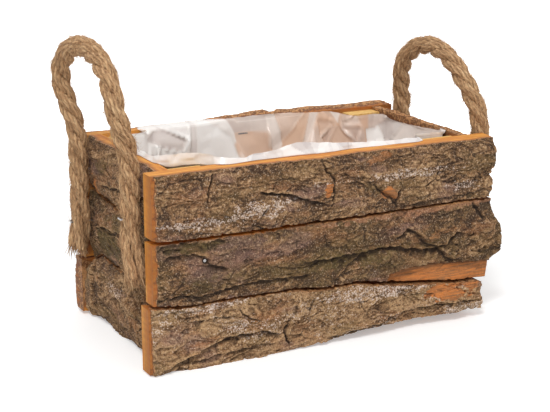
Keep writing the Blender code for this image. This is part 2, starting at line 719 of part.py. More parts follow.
def staple(name, matrix, crown, leg, finish, holes, targets):
    """Makes one staple, and notes its slots against each piece that it passes."""
    mesh_object(name, placed(staple_shape(crown, leg), matrix), finish)
    for target in targets:
        holes.setdefault(target, []).append(placed(staple_slots(crown, leg), matrix))


def liner_staples(finish, holes):
    """One staple in the middle of each wall, through the film's rim from inside."""
    height = RIM_HEIGHT - LINER_STAPLE_BELOW_RIM
    for slab in (walls[-1] for walls in (FRONT_SLABS, BACK_SLABS, LEFT_SLABS, RIGHT_SLABS)):
        seat = -(2 * CLEARANCE + LINER_WALL)
        local = Matrix.Translation((0, seat, height)) @ Matrix.Rotation(math.pi, 4, "Z")
        staple(f"liner_staple_{slab.wall}", wall_matrix(slab.wall) @ local, LINER_CROWN, LINER_LEG,
               finish, holes, ("liner", slab_name(slab)))


# Rope handles

def handle_line(handle):
    """The middle of a handle's rope above its flexing line: two legs and a half-ellipse arch.

    It starts below the flexing line by the rope's radius, for its rounded ends. The legs spread
    as they rise, and the whole loop leans as a smooth step of height.
    """
    wide = handle.half_span + handle.spread
    legs = np.linspace(-ROPE_RADIUS, handle.arch_above_flex, LEG_STEPS + 1)[:-1]
    turn = np.linspace(0, math.pi, LOOP_STEPS)
    rise = np.concatenate([legs, handle.arch_above_flex + handle.arch_rise * np.sin(turn), legs[::-1]])
    leg_y = handle.half_span + handle.spread * smooth_step(legs / handle.arch_above_flex)
    across = np.concatenate([-leg_y, -wide * np.cos(turn), leg_y[::-1]])
    out = ROPE_AXIS_X + handle.lean * smooth_step(rise / LEAN_RISE)
    return np.stack([handle.sign * out, across, FLEX_HEIGHT + rise], -1)


def tail_line(handle, sign):
    """The middle of one tail, straight down the end wall, drifting outward at its cut end."""
    length = handle.tail_lengths[sign > 0]
    share = np.linspace(0, 1, TAIL_STEPS + 1)
    down = FLEX_HEIGHT + ROPE_RADIUS - share * (length + ROPE_RADIUS)
    drift = handle.tail_drift * np.clip(2 * share - 1, 0, 1) ** 2
    across = sign * (handle.half_span + drift)
    return np.stack([np.full_like(down, handle.sign * ROPE_AXIS_X), across, down], -1)


def flex_arc(radius, start, end):
    """Points of an arc about the flexing line, as (out, up) pairs from the line."""
    angles = np.linspace(start, end, FLEX_ARC_STEPS + 1)
    return [(radius * math.cos(a), radius * math.sin(a)) for a in angles]


def round_end_keeper(handle):
    """What a loop keeps: all above the flexing line, and a half-round end below it."""
    top, wide = 2 * ROPE_DIAMETER + handle.arch_above_flex + handle.arch_rise, 2 * ROPE_DIAMETER
    outline = [(wide, 0), (wide, top), (-wide, top), (-wide, 0)] + flex_arc(ROPE_RADIUS, math.pi, 2 * math.pi)
    reach = handle.half_span + handle.spread + ROPE_DIAMETER
    matrix = Matrix.Translation((handle.sign * ROPE_AXIS_X, 0, FLEX_HEIGHT))
    return placed(extruded(outline, -reach, reach), matrix)


def cup_cutter(handle):
    """What a tail loses: a cup round the loop's end, and all above its trimmed horns."""
    radius = ROPE_RADIUS + CLEARANCE
    dip = math.asin(HORN_TRIM / radius)
    wide = 2 * ROPE_DIAMETER
    outline = [(wide, -HORN_TRIM), (wide, wide), (-wide, wide), (-wide, -HORN_TRIM)]
    outline += flex_arc(radius, math.pi + dip, 2 * math.pi - dip)
    reach = handle.half_span + handle.spread + ROPE_DIAMETER
    matrix = Matrix.Translation((handle.sign * ROPE_AXIS_X, 0, FLEX_HEIGHT))
    return placed(extruded(outline, -reach, reach), matrix)


def rope_handle(handle, rope, steel, holes):
    """One handle: its loop, with its origin on the flexing line, its two tails and their staples."""
    pivot = (handle.sign * ROPE_AXIS_X, 0, FLEX_HEIGHT)
    loop = mesh_object(f"{handle.side}_handle_loop", tube(handle_line(handle), ROPE_RADIUS, ROPE_SIDES),
                       rope, origin=pivot, smooth=True)
    cut(loop, [round_end_keeper(handle)], "INTERSECT")
    for sign, wall in ((-1, "front"), (1, "back")):
        name = f"{handle.side}_handle_tail_{wall}"
        mesh_object(name, tube(tail_line(handle, sign), ROPE_RADIUS, ROPE_SIDES), rope, smooth=True)
        holes.setdefault(name, []).append(cup_cutter(handle))
        height = COURSE_HEIGHT * handle.staple_shares[sign > 0]
        courses = LEFT_SLABS if handle.sign < 0 else RIGHT_SLABS
        carrier = next(slab for slab in courses if slab_edges(slab, sign * handle.half_span)[1] > height)
        seat = END_BARK_DEPTH + 2 * CLEARANCE + ROPE_DIAMETER
        local = Matrix.Translation((sign * handle.half_span, seat, height))
        staple(f"{handle.side}_handle_staple_{wall}", wall_matrix(handle.side) @ local,
               HANDLE_CROWN, HANDLE_LEG, steel, holes, (name, slab_name(carrier)))


def build():
    """Makes every piece, then cuts the holes that the fasteners noted."""
    for old in list(bpy.data.objects):
        bpy.data.objects.remove(old, do_unlink=True)
    bark = material("bark slab", (0.20, 0.14, 0.09), 0.95)
    lath = material("sawn lath", (0.78, 0.50, 0.20), 0.75)
    plywood = material("plywood", (0.66, 0.47, 0.27), 0.70)
    film = material("milky film", (0.86, 0.84, 0.82), 0.40)
    rope = material("jute rope", (0.42, 0.30, 0.18), 0.95)
    steel = material("bright steel", (0.75, 0.75, 0.77), 0.30, 1.0)
    holes = {}
    for slab in SLABS:
        mesh_object(slab_name(slab), slab_shape(slab), bark)
        slab_nails(slab, steel, holes)
    for sign_x in (-1, 1):
        for sign_y in (-1, 1):
            corner_post(sign_x, sign_y, lath)
    base_panel(plywood)
    base_nails(steel, holes)
    liner(film)
    liner_staples(steel, holes)
    for handle in HANDLES:
        rope_handle(handle, rope, steel, holes)
    for name, shapes in holes.items():
        cut(bpy.data.objects[name], shapes)
    basket = bpy.data.objects.new("basket", None)
    basket.location = (BOX_MIDDLE_X, 0, 0)
    bpy.context.collection.objects.link(basket)
    for piece in bpy.data.objects:
        if piece is not basket:
            piece.parent = basket


build()
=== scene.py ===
"""Looks of a planter box of bark-on slabs with two rope handles and a film liner.

Every length is in metres, unless a name ends in mm. The box stands on z = 0, its long walls run
along x, and its front faces -y.
"""
import logging
import math
from dataclasses import dataclass, field
from enum import Enum

import bpy
import numpy as np
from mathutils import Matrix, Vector


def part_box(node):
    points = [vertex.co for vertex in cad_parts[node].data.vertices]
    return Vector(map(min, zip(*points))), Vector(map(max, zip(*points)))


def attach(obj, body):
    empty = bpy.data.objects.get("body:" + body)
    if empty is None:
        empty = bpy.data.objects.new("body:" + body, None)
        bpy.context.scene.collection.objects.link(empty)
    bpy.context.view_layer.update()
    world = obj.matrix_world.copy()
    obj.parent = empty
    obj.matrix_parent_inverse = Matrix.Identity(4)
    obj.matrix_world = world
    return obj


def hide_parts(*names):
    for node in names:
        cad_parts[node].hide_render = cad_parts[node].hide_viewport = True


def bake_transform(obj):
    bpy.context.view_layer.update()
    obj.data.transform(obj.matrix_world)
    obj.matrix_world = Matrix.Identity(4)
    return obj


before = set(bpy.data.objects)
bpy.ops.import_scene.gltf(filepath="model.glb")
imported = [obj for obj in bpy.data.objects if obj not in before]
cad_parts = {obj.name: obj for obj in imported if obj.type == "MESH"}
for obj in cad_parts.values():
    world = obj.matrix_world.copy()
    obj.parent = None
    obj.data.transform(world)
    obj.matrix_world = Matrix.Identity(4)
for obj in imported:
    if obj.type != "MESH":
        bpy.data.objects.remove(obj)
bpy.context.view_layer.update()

LOG = logging.getLogger("planter")
MM = 0.001

Array = np.ndarray
Triple = tuple[float, float, float]
Colour = Triple
Points = tuple[tuple[float, float], ...]
Grids = dict[str, Array]
Material = bpy.types.Material
Node = bpy.types.Node
Piece = bpy.types.Object
Socket = bpy.types.NodeSocket
Tree = bpy.types.NodeTree


def paint(red: int, green: int, blue: int) -> Colour:
    """A colour as light, from its three screen values of 0 to 255."""
    shares = np.array([red, green, blue]) / 255
    light = np.where(shares <= 0.04045, shares / 12.92, ((shares + 0.055) / 1.055) ** 2.4)
    return tuple(float(value) for value in light)


def smooth_step(share: Array) -> Array:
    """A share held between 0 and 1 and eased at both ends: 3s² - 2s³."""
    share = np.clip(share, 0, 1)
    return share * share * (3 - 2 * share)


def unit(vectors: Array) -> Array:
    """The vectors at length 1."""
    return vectors / np.linalg.norm(vectors, axis=-1, keepdims=True)


def bell(away: Array, width: float) -> Array:
    """A hump of 1 at nought that has fallen to a third at that width."""
    return np.exp(-(away / width) ** 2)


def tapered(share: Array, reach: float) -> Array:
    """From 0 at both ends of a line to 1 past that share of it."""
    return smooth_step(np.minimum(share, 1 - share) / reach)


def along_line(points: Points, places: Array) -> Array:
    """A drawn line's height at places along it."""
    return np.interp(places, *np.array(points).T)


def walked_evenly(points: Array, count: int, closed: bool = False) -> Array:
    """Points at even steps along a line."""
    walked = np.concatenate([[0], np.cumsum(np.linalg.norm(np.diff(points, axis=0), axis=1))])
    places = np.linspace(0, walked[-1], count, endpoint=not closed)
    return np.stack([np.interp(places, walked, part) for part in points.T], -1)


# Noise and drawn lines, as whole arrays

@dataclass
class Noise:
    """Seeded noise on a plane whose lattice has a pitch of 1."""

    seed: int
    order: Array = field(init=False)
    angles: Array = field(init=False)
    seats: Array = field(init=False)

    def __post_init__(self) -> None:
        """Draws the lattice's order, slopes and cell seats."""
        draws = np.random.RandomState(self.seed)
        self.order = draws.permutation(256)
        self.angles = draws.uniform(0, 2 * math.pi, 256)
        self.seats = draws.uniform(0.1, 0.9, (3, 256))

    def key(self, column: Array, row: Array) -> Array:
        """The lattice point's number in the drawn tables."""
        return self.order[(self.order[column & 255] + row) & 255]

    def at(self, x: Array, y: Array) -> Array:
        """Gradient noise from about -1 to 1: sloped planes at the lattice points, eased together."""
        column, row = np.floor(x).astype(int), np.floor(y).astype(int)
        dx, dy = x - column, y - row
        ease_x, ease_y = (d * d * d * (d * (d * 6 - 15) + 10) for d in (dx, dy))

        def corner(i: int, j: int) -> Array:
            """The plane of one corner of the cell."""
            angle = self.angles[self.key(column + i, row + j)]
            return np.cos(angle) * (dx - i) + np.sin(angle) * (dy - j)

        low = corner(0, 0) * (1 - ease_x) + corner(1, 0) * ease_x
        high = corner(0, 1) * (1 - ease_x) + corner(1, 1) * ease_x
        return 1.5 * (low * (1 - ease_y) + high * ease_y)

    def layers(self, x: Array, y: Array, count: int, gain: float = 0.5) -> Array:
        """Several noises, each at twice the pitch and gain times the height of the one before."""
        total = np.zeros(np.broadcast(x, y).shape)
        for layer in range(count):
            total = total + gain ** layer * self.at(x * 2 ** layer + 17 * layer, y * 2 ** layer)
        return total

    def cells(self, x: Array, y: Array) -> tuple[Array, Array]:
        """Cells round seeded seats.

        Args:
            x: places in cell widths.
            y: places in cell heights.

        Returns:
            How far the second nearest seat lies past the nearest, and the nearest seat's tone.
        """
        column, row = np.floor(x).astype(int), np.floor(y).astype(int)
        first = np.full(column.shape, 9.0)
        second, tone = first.copy(), np.zeros(column.shape)
        for i in (-1, 0, 1):
            for j in (-1, 0, 1):
                key = self.key(column + i, row + j)
                away = np.hypot(x - column - i - self.seats[0][key], y - row - j - self.seats[1][key])
                closer = away < first
                second = np.where(closer, first, np.minimum(second, away))
                tone = np.where(closer, self.seats[2][key], tone)
                first = np.where(closer, away, first)
        return second - first, tone


def line_places(x: Array, y: Array, points: Points) -> tuple[Array, Array]:
    """Where places lie against a drawn line.

    Args:
        x: places along.
        y: places up.
        points: the line's corners, drawn from left to right.

    Returns:
        The distance, positive above the line, and the share of the line's length at its foot.
    """
    corners = np.asarray(points, float)
    steps = np.linalg.norm(np.diff(corners, axis=0), axis=1)
    begun = np.concatenate([[0], np.cumsum(steps)])
    best = np.full(x.shape, np.inf)
    signed, share = best.copy(), np.zeros(x.shape)
    for start, end, before, length in zip(corners, corners[1:], begun, steps):
        ahead = (end - start) / length
        foot = np.clip((x - start[0]) * ahead[0] + (y - start[1]) * ahead[1], 0, length)
        away = np.hypot(x - start[0] - foot * ahead[0], y - start[1] - foot * ahead[1])
        side = np.where(ahead[0] * (y - start[1]) - ahead[1] * (x - start[0]) < 0, -1, 1)
        closer = away < best
        signed = np.where(closer, away * side, signed)
        share = np.where(closer, (before + foot) / begun[-1], share)
        best = np.where(closer, away, best)
    return signed, share


def blurred(grid: Array, spread: float) -> Array:
    """A grid smoothed by a bell of that spread, in cells, with its rim values carried outward."""
    pad = int(4 * spread) + 1
    wide = np.pad(grid, pad, mode="edge")
    rows, columns = (np.fft.fftfreq(size) for size in wide.shape)
    bell = np.exp(-2 * (math.pi * spread) ** 2 * (rows[:, None] ** 2 + columns[None, :] ** 2))
    return np.real(np.fft.ifft2(np.fft.fft2(wide) * bell))[pad:-pad, pad:-pad]


# Meshes

@dataclass
class Surface:
    """Points, faces, slots and marks of one piece while it is worked out."""

    points: Array
    quads: Array
    slots: Array | None = None
    marks: Grids = field(default_factory=dict)
    covers: list[list[int]] = field(default_factory=list)

    def faced_out(self) -> "Surface":
        """Turns the faces of a closed surface outward, by the sign of the space that they hold."""
        a, b, c, d = (self.points[self.quads[:, corner]] for corner in range(4))
        space = np.sum(np.cross(b - a, c - a) * a) + np.sum(np.cross(c - a, d - a) * a)
        if space < 0:
            self.quads = self.quads[:, ::-1]
            self.covers = [cover[::-1] for cover in self.covers]
        return self

    def piece(self, name: str, body: str | None, finishes: list[Material],
              sharp_degrees: float = 180.0) -> Piece:
        """Puts the surface into the scene.

        Args:
            name: the piece's name.
            body: the CAD body that carries it, or None for a piece that no body carries.
            finishes: its materials, one for each slot number.
            sharp_degrees: the angle between faces past which an edge is sharp.

        Returns:
            The piece.
        """
        mesh = bpy.data.meshes.new(name)
        mesh.from_pydata(self.points.tolist(), [], self.quads.tolist() + self.covers)
        for finish in finishes:
            mesh.materials.append(finish)
        if self.slots is not None:
            slots = np.concatenate([self.slots, np.full(len(self.covers), len(finishes) - 1)])
            mesh.polygons.foreach_set("material_index", slots.astype(np.int32))
        for mark, values in self.marks.items():
            kind, entry = ("FLOAT_VECTOR", "vector") if values.ndim == 2 else ("FLOAT", "value")
            kept = mesh.attributes.new(mark, kind, "POINT")
            kept.data.foreach_set(entry, values.astype(np.float32).ravel())
        mesh.shade_smooth()
        if sharp_degrees < 180:
            mesh.set_sharp_from_angle(angle=math.radians(sharp_degrees))
        mesh.validate()
        made = bpy.data.objects.new(name, mesh)
        bpy.context.collection.objects.link(made)
        if body is not None:
            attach(made, body)
        LOG.info("%s: %d points, %d faces", name, len(mesh.vertices), len(mesh.polygons))
        return made


def quads_of(index: Array, closed: bool = False) -> Array:
    """Quads of a grid of points.

    Args:
        index: the points' numbers as a grid.
        closed: whether the last column joins the first.

    Returns:
        The quads' corner numbers.
    """
    if closed:
        index = np.concatenate([index, index[:, :1]], 1)
    quads = np.stack([index[:-1, :-1], index[1:, :-1], index[1:, 1:], index[:-1, 1:]], -1)
    return quads.reshape(-1, 4)


# Materials

class Nodes:
    """A node tree that is filled by short calls."""

    def __init__(self, tree: Tree) -> None:
        """Takes the tree to fill."""
        self.tree = tree

    def feed(self, node: Node, inputs: dict[int | str, object]) -> Node:
        """Fills a node's sockets.

        Args:
            node: the node.
            inputs: sockets by name or number, each with a value or an output to link.

        Returns:
            The same node.
        """
        for key, value in inputs.items():
            if isinstance(value, Socket):
                self.tree.links.new(value, node.inputs[key])
            else:
                node.inputs[key].default_value = value
        return node

    def add(self, kind: str, inputs: dict[int | str, object] | None = None, **settings: object) -> Node:
        """Adds a node.

        Args:
            kind: the node's type without its ShaderNode prefix.
            inputs: what its sockets get, as for feed.
            settings: the node's own settings.

        Returns:
            The node.
        """
        node = self.tree.nodes.new("ShaderNode" + kind)
        for key, value in settings.items():
            setattr(node, key, value)
        return self.feed(node, inputs or {})

    def group(self, tree: Tree, place: Socket, waves: float) -> Node:
        """A shared group, fed with a place and so many waves a metre."""
        return self.add("Group", {"Place": place, "Waves": waves}, node_tree=tree)

    def mark(self, name: str) -> Socket:
        """A number kept on the piece's points."""
        return self.add("Attribute", attribute_name=name).outputs["Fac"]

    def place(self) -> Socket:
        """The place kept on the piece's points."""
        return self.add("Attribute", attribute_name="place").outputs["Vector"]

    def object_place(self) -> Socket:
        """The place in the object's own axes."""
        return self.add("TexCoord").outputs["Object"]

    def noise(self, place: Socket, waves: float | Socket, detail: float = 2.0, rough: float = 0.55,
              stretch: Triple = (1.0, 1.0, 1.0), warp: float = 0.0) -> Socket:
        """Noise with so many waves a metre, drawn out by stretch along each axis, and warped."""
        scaled = self.add("Mapping", {"Vector": place, "Scale": [1 / value for value in stretch]})
        return self.add("TexNoise", {"Vector": scaled.outputs[0], "Scale": waves, "Detail": detail,
                                     "Roughness": rough, "Distortion": warp}).outputs[0]

    def math(self, operation: str, first: object, second: object = 0.0) -> Socket:
        """One sum."""
        return self.add("Math", {0: first, 1: second}, operation=operation).outputs[0]

    def times(self, first: object, second: object) -> Socket:
        """One value times another."""
        return self.math("MULTIPLY", first, second)

    def total(self, *parts: tuple[object, float]) -> Socket:
        """The sum of values, each times its weight."""
        total, *others = [self.times(value, weight) for value, weight in parts]
        for other in others:
            total = self.math("ADD", total, other)
        return total

    def spread(self, value: Socket, low: float, high: float, out_low: float = 0.0,
               out_high: float = 1.0) -> Socket:
        """A value's stretch from low to high, eased onto another."""
        return self.add("MapRange", {"Value": value, "From Min": low, "From Max": high,
                                     "To Min": out_low, "To Max": out_high},
                        interpolation_type="SMOOTHSTEP").outputs[0]

    def mix(self, share: object, first: object, second: object) -> Socket:
        """Two colours mixed by a share."""
        first, second = ((*c, 1.0) if isinstance(c, tuple) else c for c in (first, second))
        return self.add("Mix", {0: share, 6: first, 7: second}, data_type="RGBA").outputs[2]

    def ramp(self, value: Socket, stops: tuple[tuple[float, Colour], ...]) -> Socket:
        """A colour ramp with its stops' places and colours."""
        node = self.add("ValToRGB", {0: value})
        band = node.color_ramp.elements
        while len(band) < len(stops):
            band.new(1.0)
        for stop, (place, colour) in zip(band, stops):
            stop.position = place
            stop.color = (*colour, 1.0)
        return node.outputs[0]

    def bump(self, height: Socket, distance: float, strength: float) -> Socket:
        """The normal that a height of 0 to 1 gives at that distance."""
        return self.add("Bump", {"Height": height, "Distance": distance, "Strength": strength}).outputs[0]


def finish_nodes(name: str, roughness: float, metallic: float = 0.0) -> tuple[Material, Nodes, Node]:
    """A new material, its nodes and its Principled shader."""
    made = bpy.data.materials.new(name)
    made.use_nodes = True
    shader = made.node_tree.nodes["Principled BSDF"]
    shader.inputs["Roughness"].default_value = roughness
    shader.inputs["Metallic"].default_value = metallic
    return made, Nodes(made.node_tree), shader


def new_group(name: str, waves: float, outputs: tuple[str, ...]) -> tuple[Nodes, Node, Node]:
    """A shader group that takes a place and a number of waves a metre, and gives numbers.

    Args:
        name: the group's name.
        waves: the first value of its input called Waves.
        outputs: the names of its outputs.

    Returns:
        The group's nodes, its input node and its output node.
    """
    tree = bpy.data.node_groups.new(name, "ShaderNodeTree")
    tree.interface.new_socket("Place", in_out="INPUT", socket_type="NodeSocketVector")
    socket = tree.interface.new_socket("Waves", in_out="INPUT", socket_type="NodeSocketFloat")
    socket.default_value = waves
    for key in outputs:
        tree.interface.new_socket(key, in_out="OUTPUT", socket_type="NodeSocketFloat")
    return Nodes(tree), tree.nodes.new("NodeGroupInput"), tree.nodes.new("NodeGroupOutput")


class Effects:
    """The shader groups that several finishes share."""

    def __init__(self) -> None:
        """Builds each group once."""
        self.speckle = self.make_speckle()
        self.grain = self.make_grain()

    @staticmethod
    def make_speckle() -> Tree:
        """Fine grit: crisp small noise over a coarser one, as a value about 0.5."""
        nodes, start, end = new_group("fine speckle", 900.0, ("Value",))
        place, waves = start.outputs["Place"], start.outputs["Waves"]
        fine = nodes.noise(place, waves, 3.0, 0.7)
        coarse = nodes.noise(place, nodes.times(waves, 0.3), 2.0, 0.6)
        nodes.feed(end, {"Value": nodes.spread(nodes.total((fine, 0.5), (coarse, 0.5)), 0.36, 0.64)})
        return nodes.tree

    @staticmethod
    def make_grain() -> Tree:
        """Wood grain: streaks drawn out along x of the place, with fine fibre in them."""
        nodes, start, end = new_group("wood grain", 400.0, ("Streaks", "Fibre"))
        place, waves, long = start.outputs["Place"], start.outputs["Waves"], (20.0, 1.0, 1.0)
        streaks = nodes.noise(place, waves, 3.0, 0.6, long, 0.4)
        fibre = nodes.noise(place, nodes.times(waves, 5.0), 2.0, 0.6, long)
        nodes.feed(end, {"Streaks": nodes.spread(streaks, 0.3, 0.7), "Fibre": fibre})
        return nodes.tree


@dataclass(frozen=True)
class BarkFinish:
    """Pine bark: grey-brown grain, lichen flecks, moss, inner bark and scraped places, with painted shade in
    its cracks, hollows and under its ledges.
    """

    # crack: the colour of painted shade in cracks, hollows and under ledges
    crack: Colour = paint(46, 32, 22)
    dark: Colour = paint(74, 50, 31)
    brown: Colour = paint(134, 98, 64)
    pale: Colour = paint(190, 152, 110)
    fleck: Colour = paint(214, 182, 146)
    pit: Colour = paint(54, 36, 22)
    rust: Colour = paint(160, 108, 70)
    olive: Colour = paint(122, 98, 56)
    plum: Colour = paint(144, 110, 100)
    lichen: Colour = paint(224, 206, 194)
    moss: Colour = paint(92, 78, 40)
    inner: Colour = paint(180, 126, 92)
    scrape: Colour = paint(220, 134, 66)
    grit_waves: float = 820.0
    fleck_waves: float = 560.0
    scale_waves: float = 230.0
    drift_waves: float = 62.0
    hue_waves: float = 44.0
    fibre_waves: float = 600.0

    def make(self, effects: Effects) -> Material:
        """Builds the material.

        Args:
            effects: the shared shader groups.

        Returns:
            The bark material, which reads the marks that a slab keeps on its points.
        """
        made, nodes, shader = finish_nodes("pine bark", 0.92)
        place = nodes.place()
        grit = nodes.noise(place, self.grit_waves, 2.0, 0.6)
        fleck = nodes.noise(place, self.fleck_waves, 3.0, 0.7, (1.3, 1.0, 1.0))
        scales = nodes.noise(place, self.scale_waves, 4.0, 0.7, (1.6, 1.0, 1.0))
        colour = self.tinted(nodes, place, scales, fleck)
        colour = self.coated(nodes, colour, grit, scales, fleck)
        fibres = nodes.group(effects.grain, place, self.fibre_waves).outputs["Streaks"]
        fresh = nodes.mix(fibres, nodes.mix(fleck, self.brown, self.rust), self.scrape)
        scraped = nodes.total((nodes.mark("scrape"), 1.0), (scales, 0.30))
        colour = nodes.mix(nodes.spread(scraped, 0.45, 0.95, 0.0, 0.92), colour, fresh)
        # Painted shade: this mark darkens hollows, grooves, cracks and the bands under ledges
        colour = nodes.mix(nodes.mark("painted_shade"), colour, self.crack)
        relief = nodes.total((grit, 0.5), (fleck, 0.5), (scales, 1.6))
        nodes.feed(shader, {"Base Color": colour, "Normal": nodes.bump(relief, 1.4 * MM, 0.9)})
        return made

    def tinted(self, nodes: Nodes, place: Socket, scales: Socket, fleck: Socket) -> Socket:
        """The bark's own light and dark grain, with rust, plum, olive and inner bark in it."""
        level = nodes.total((scales, 0.60), (fleck, 0.40), (nodes.mark("tone"), 1.0))
        colour = nodes.ramp(level, ((0.41, self.dark), (0.52, self.brown), (0.65, self.pale)))
        drift = nodes.noise(place, self.drift_waves, 4.0, 0.6, (2.2, 1.0, 1.0))
        rusty = nodes.total((drift, 1.0), (scales, 0.3))
        colour = nodes.mix(nodes.spread(rusty, 0.66, 0.80, 0.0, 0.40), colour, self.rust)
        hue = nodes.noise(place, self.hue_waves, 3.0, 0.6, (2.5, 1.0, 1.0))
        colour = nodes.mix(nodes.spread(hue, 0.54, 0.68, 0.0, 0.50), colour, self.plum)
        colour = nodes.mix(nodes.spread(hue, 0.48, 0.32, 0.0, 0.42), colour, self.olive)
        inner = nodes.total((nodes.mark("inner"), 1.0), (scales, 0.35))
        return nodes.mix(nodes.spread(inner, 0.45, 0.95, 0.0, 0.62), colour, self.inner)

    def coated(self, nodes: Nodes, colour: Socket, grit: Socket, scales: Socket, fleck: Socket) -> Socket:
        """That colour under moss, light flecks, dark pits and lichen."""
        moss = nodes.mark("moss")
        colour = nodes.mix(nodes.times(moss, nodes.spread(scales, 0.35, 0.6, 0.35, 0.85)), colour, self.moss)
        dry = nodes.math("SUBTRACT", 1.0, nodes.times(moss, 0.75))
        light = nodes.times(nodes.spread(grit, 0.54, 0.66, 0.0, 0.50), dry)
        colour = nodes.mix(light, colour, self.fleck)
        colour = nodes.mix(nodes.spread(grit, 0.46, 0.34, 0.0, 0.50), colour, self.pit)
        worn = nodes.times(nodes.mark("lichen"), nodes.spread(scales, 0.34, 0.62, 0.45, 1.0))
        specks = nodes.total((worn, 0.20), (grit, 0.75), (fleck, 0.25))
        colour = nodes.mix(nodes.spread(specks, 0.62, 0.74, 0.0, 0.85), colour, self.lichen)
        return nodes.mix(nodes.spread(fleck, 0.45, 0.34, 0.0, 0.60), colour, self.pit)


@dataclass(frozen=True)
class SawnFinish:
    """Sawn wood of a slab: golden heart, orange sapwood and a dark line under the bark."""

    gold: Colour = paint(238, 174, 80)
    orange: Colour = paint(188, 106, 34)
    deep: Colour = paint(150, 86, 38)
    line: Colour = paint(116, 68, 38)
    bark: Colour = paint(194, 142, 92)
    dark_bark: Colour = paint(118, 78, 46)
    bark_thickness: float = 2.2 * MM
    grain_waves: float = 420.0
    grit_waves: float = 800.0

    def make(self, effects: Effects) -> Material:
        """Builds the material, which reads how far a point lies under the bark."""
        made, nodes, shader = finish_nodes("sawn slab wood", 0.72)
        place = nodes.place()
        streaks, fibre = nodes.group(effects.grain, place, self.grain_waves).outputs
        colour = nodes.mix(streaks, self.orange, self.gold)
        colour = nodes.mix(nodes.spread(fibre, 0.35, 0.7, 0.0, 0.3), colour, self.orange)
        wander = nodes.math("SUBTRACT", nodes.noise(place, 300.0), 0.5)
        under = nodes.total((nodes.mark("under_bark"), 1.0), (wander, 3.4 * MM))
        edge = self.bark_thickness
        heart = nodes.total((under, 1.0), (streaks, -5.0 * MM))
        heart = nodes.spread(heart, edge + 6.0 * MM, edge - 1.0 * MM, 0.0, 0.75)
        colour = nodes.mix(heart, colour, self.deep)
        colour = nodes.mix(nodes.spread(under, edge + 1.2 * MM, edge + 0.2 * MM), colour, self.line)
        grit = nodes.group(effects.speckle, place, self.grit_waves).outputs["Value"]
        torn = nodes.mix(nodes.spread(grit, 0.25, 0.75), self.dark_bark, self.bark)
        colour = nodes.mix(nodes.spread(under, edge + 0.3 * MM, edge - 0.5 * MM), colour, torn)
        nodes.feed(shader, {"Base Color": colour, "Normal": nodes.bump(fibre, 0.25 * MM, 0.6)})
        return made


class Cut(Enum):
    """Which way the grain runs on a plain sawn piece."""

    ALONG_LENGTH = (0.0, 0.0, 0.0)
    UPRIGHT = (0.0, math.pi / 2, 0.0)


@dataclass(frozen=True)
class PlainWoodFinish:
    """Plain sawn wood or plywood on a CAD piece."""

    name: str
    light: Colour
    dark: Colour
    cut: Cut
    grain_waves: float = 380.0
    grit_waves: float = 700.0

    def make(self, effects: Effects) -> Material:
        """Builds the material from the piece's own place, with the grain turned to its cut."""
        made, nodes, shader = finish_nodes(self.name, 0.68)
        turned = nodes.add("Mapping", {"Vector": nodes.object_place(), "Rotation": self.cut.value})
        place = turned.outputs[0]
        streaks, fibre = nodes.group(effects.grain, place, self.grain_waves).outputs
        grit = nodes.group(effects.speckle, place, self.grit_waves).outputs["Value"]
        colour = nodes.mix(streaks, self.dark, self.light)
        colour = nodes.mix(nodes.spread(grit, 0.6, 1.0, 0.0, 0.25), colour, self.dark)
        nodes.feed(shader, {"Base Color": colour, "Normal": nodes.bump(fibre, 0.2 * MM, 0.5)})
        return made


@dataclass(frozen=True)
class FilmFinish:
    """Milky film: near white where it stands free, the colour of wood where it lies on it, with painted shade
    on its folds and facets.
    """

    free: Colour = paint(244, 240, 236)
    # cool: the grey of painted shade on the film
    film_shade: Colour = paint(192, 182, 180)
    backed: Colour = paint(224, 184, 154)

    def make(self) -> Material:
        """Builds the material, which reads how close the film lies to the wood and the painted shade of its
        folds.
        """
        made, nodes, shader = finish_nodes("milky film", 0.34)
        place = nodes.object_place()
        cloud = nodes.noise(place, 22.0, 3.0, 0.55)
        # Painted shade: cloudy shade plus each fold's and facet's tone, towards the grey
        shaded = nodes.total((nodes.spread(cloud, 0.35, 0.7, 0.0, 0.35), 1.0), (nodes.mark("fold_shade"), 1.0))
        backed = nodes.times(nodes.mark("backed"), nodes.spread(cloud, 0.3, 0.65, 1.0, 0.8))
        colour = nodes.mix(nodes.spread(shaded, -0.15, 1.25), self.free, self.film_shade)
        wrinkles = nodes.noise(place, 150.0, 2.0, 0.5, (1.0, 1.0, 1.6))
        nodes.feed(shader, {"Base Color": nodes.mix(backed, colour, self.backed),
                            "Normal": nodes.bump(wrinkles, 0.5 * MM, 0.35),
                            "Transmission Weight": 0.0, "Coat Weight": 0.25, "Coat Roughness": 0.18})
        return made


@dataclass(frozen=True)
class RopeFinish:
    """Jute: tan yarns with lighter and darker fibres, and painted shade between the strands and yarns."""

    light: Colour = paint(230, 197, 152)
    tan: Colour = paint(194, 152, 110)
    brown: Colour = paint(122, 88, 58)
    # groove: the colour of painted shade between strands and yarns
    groove: Colour = paint(82, 56, 36)

    def make(self) -> Material:
        """Builds the material, which reads a place along and round the strand, and its groove's painted
        shade.
        """
        made, nodes, shader = finish_nodes("jute rope", 0.9)
        place = nodes.place()
        fibre = nodes.noise(place, 800.0, 3.0, 0.7, (6.0, 1.0, 1.0))
        patch = nodes.noise(place, 170.0, 3.0, 0.6, (1.6, 1.0, 1.0))
        level = nodes.total((fibre, 0.65), (patch, 0.35))
        colour = nodes.ramp(level, ((0.36, self.brown), (0.50, self.tan), (0.64, self.light)))
        # Painted shade in the grooves
        colour = nodes.mix(nodes.mark("groove"), colour, self.groove)
        nodes.feed(shader, {"Base Color": colour, "Normal": nodes.bump(fibre, 0.5 * MM, 0.9)})
        return made


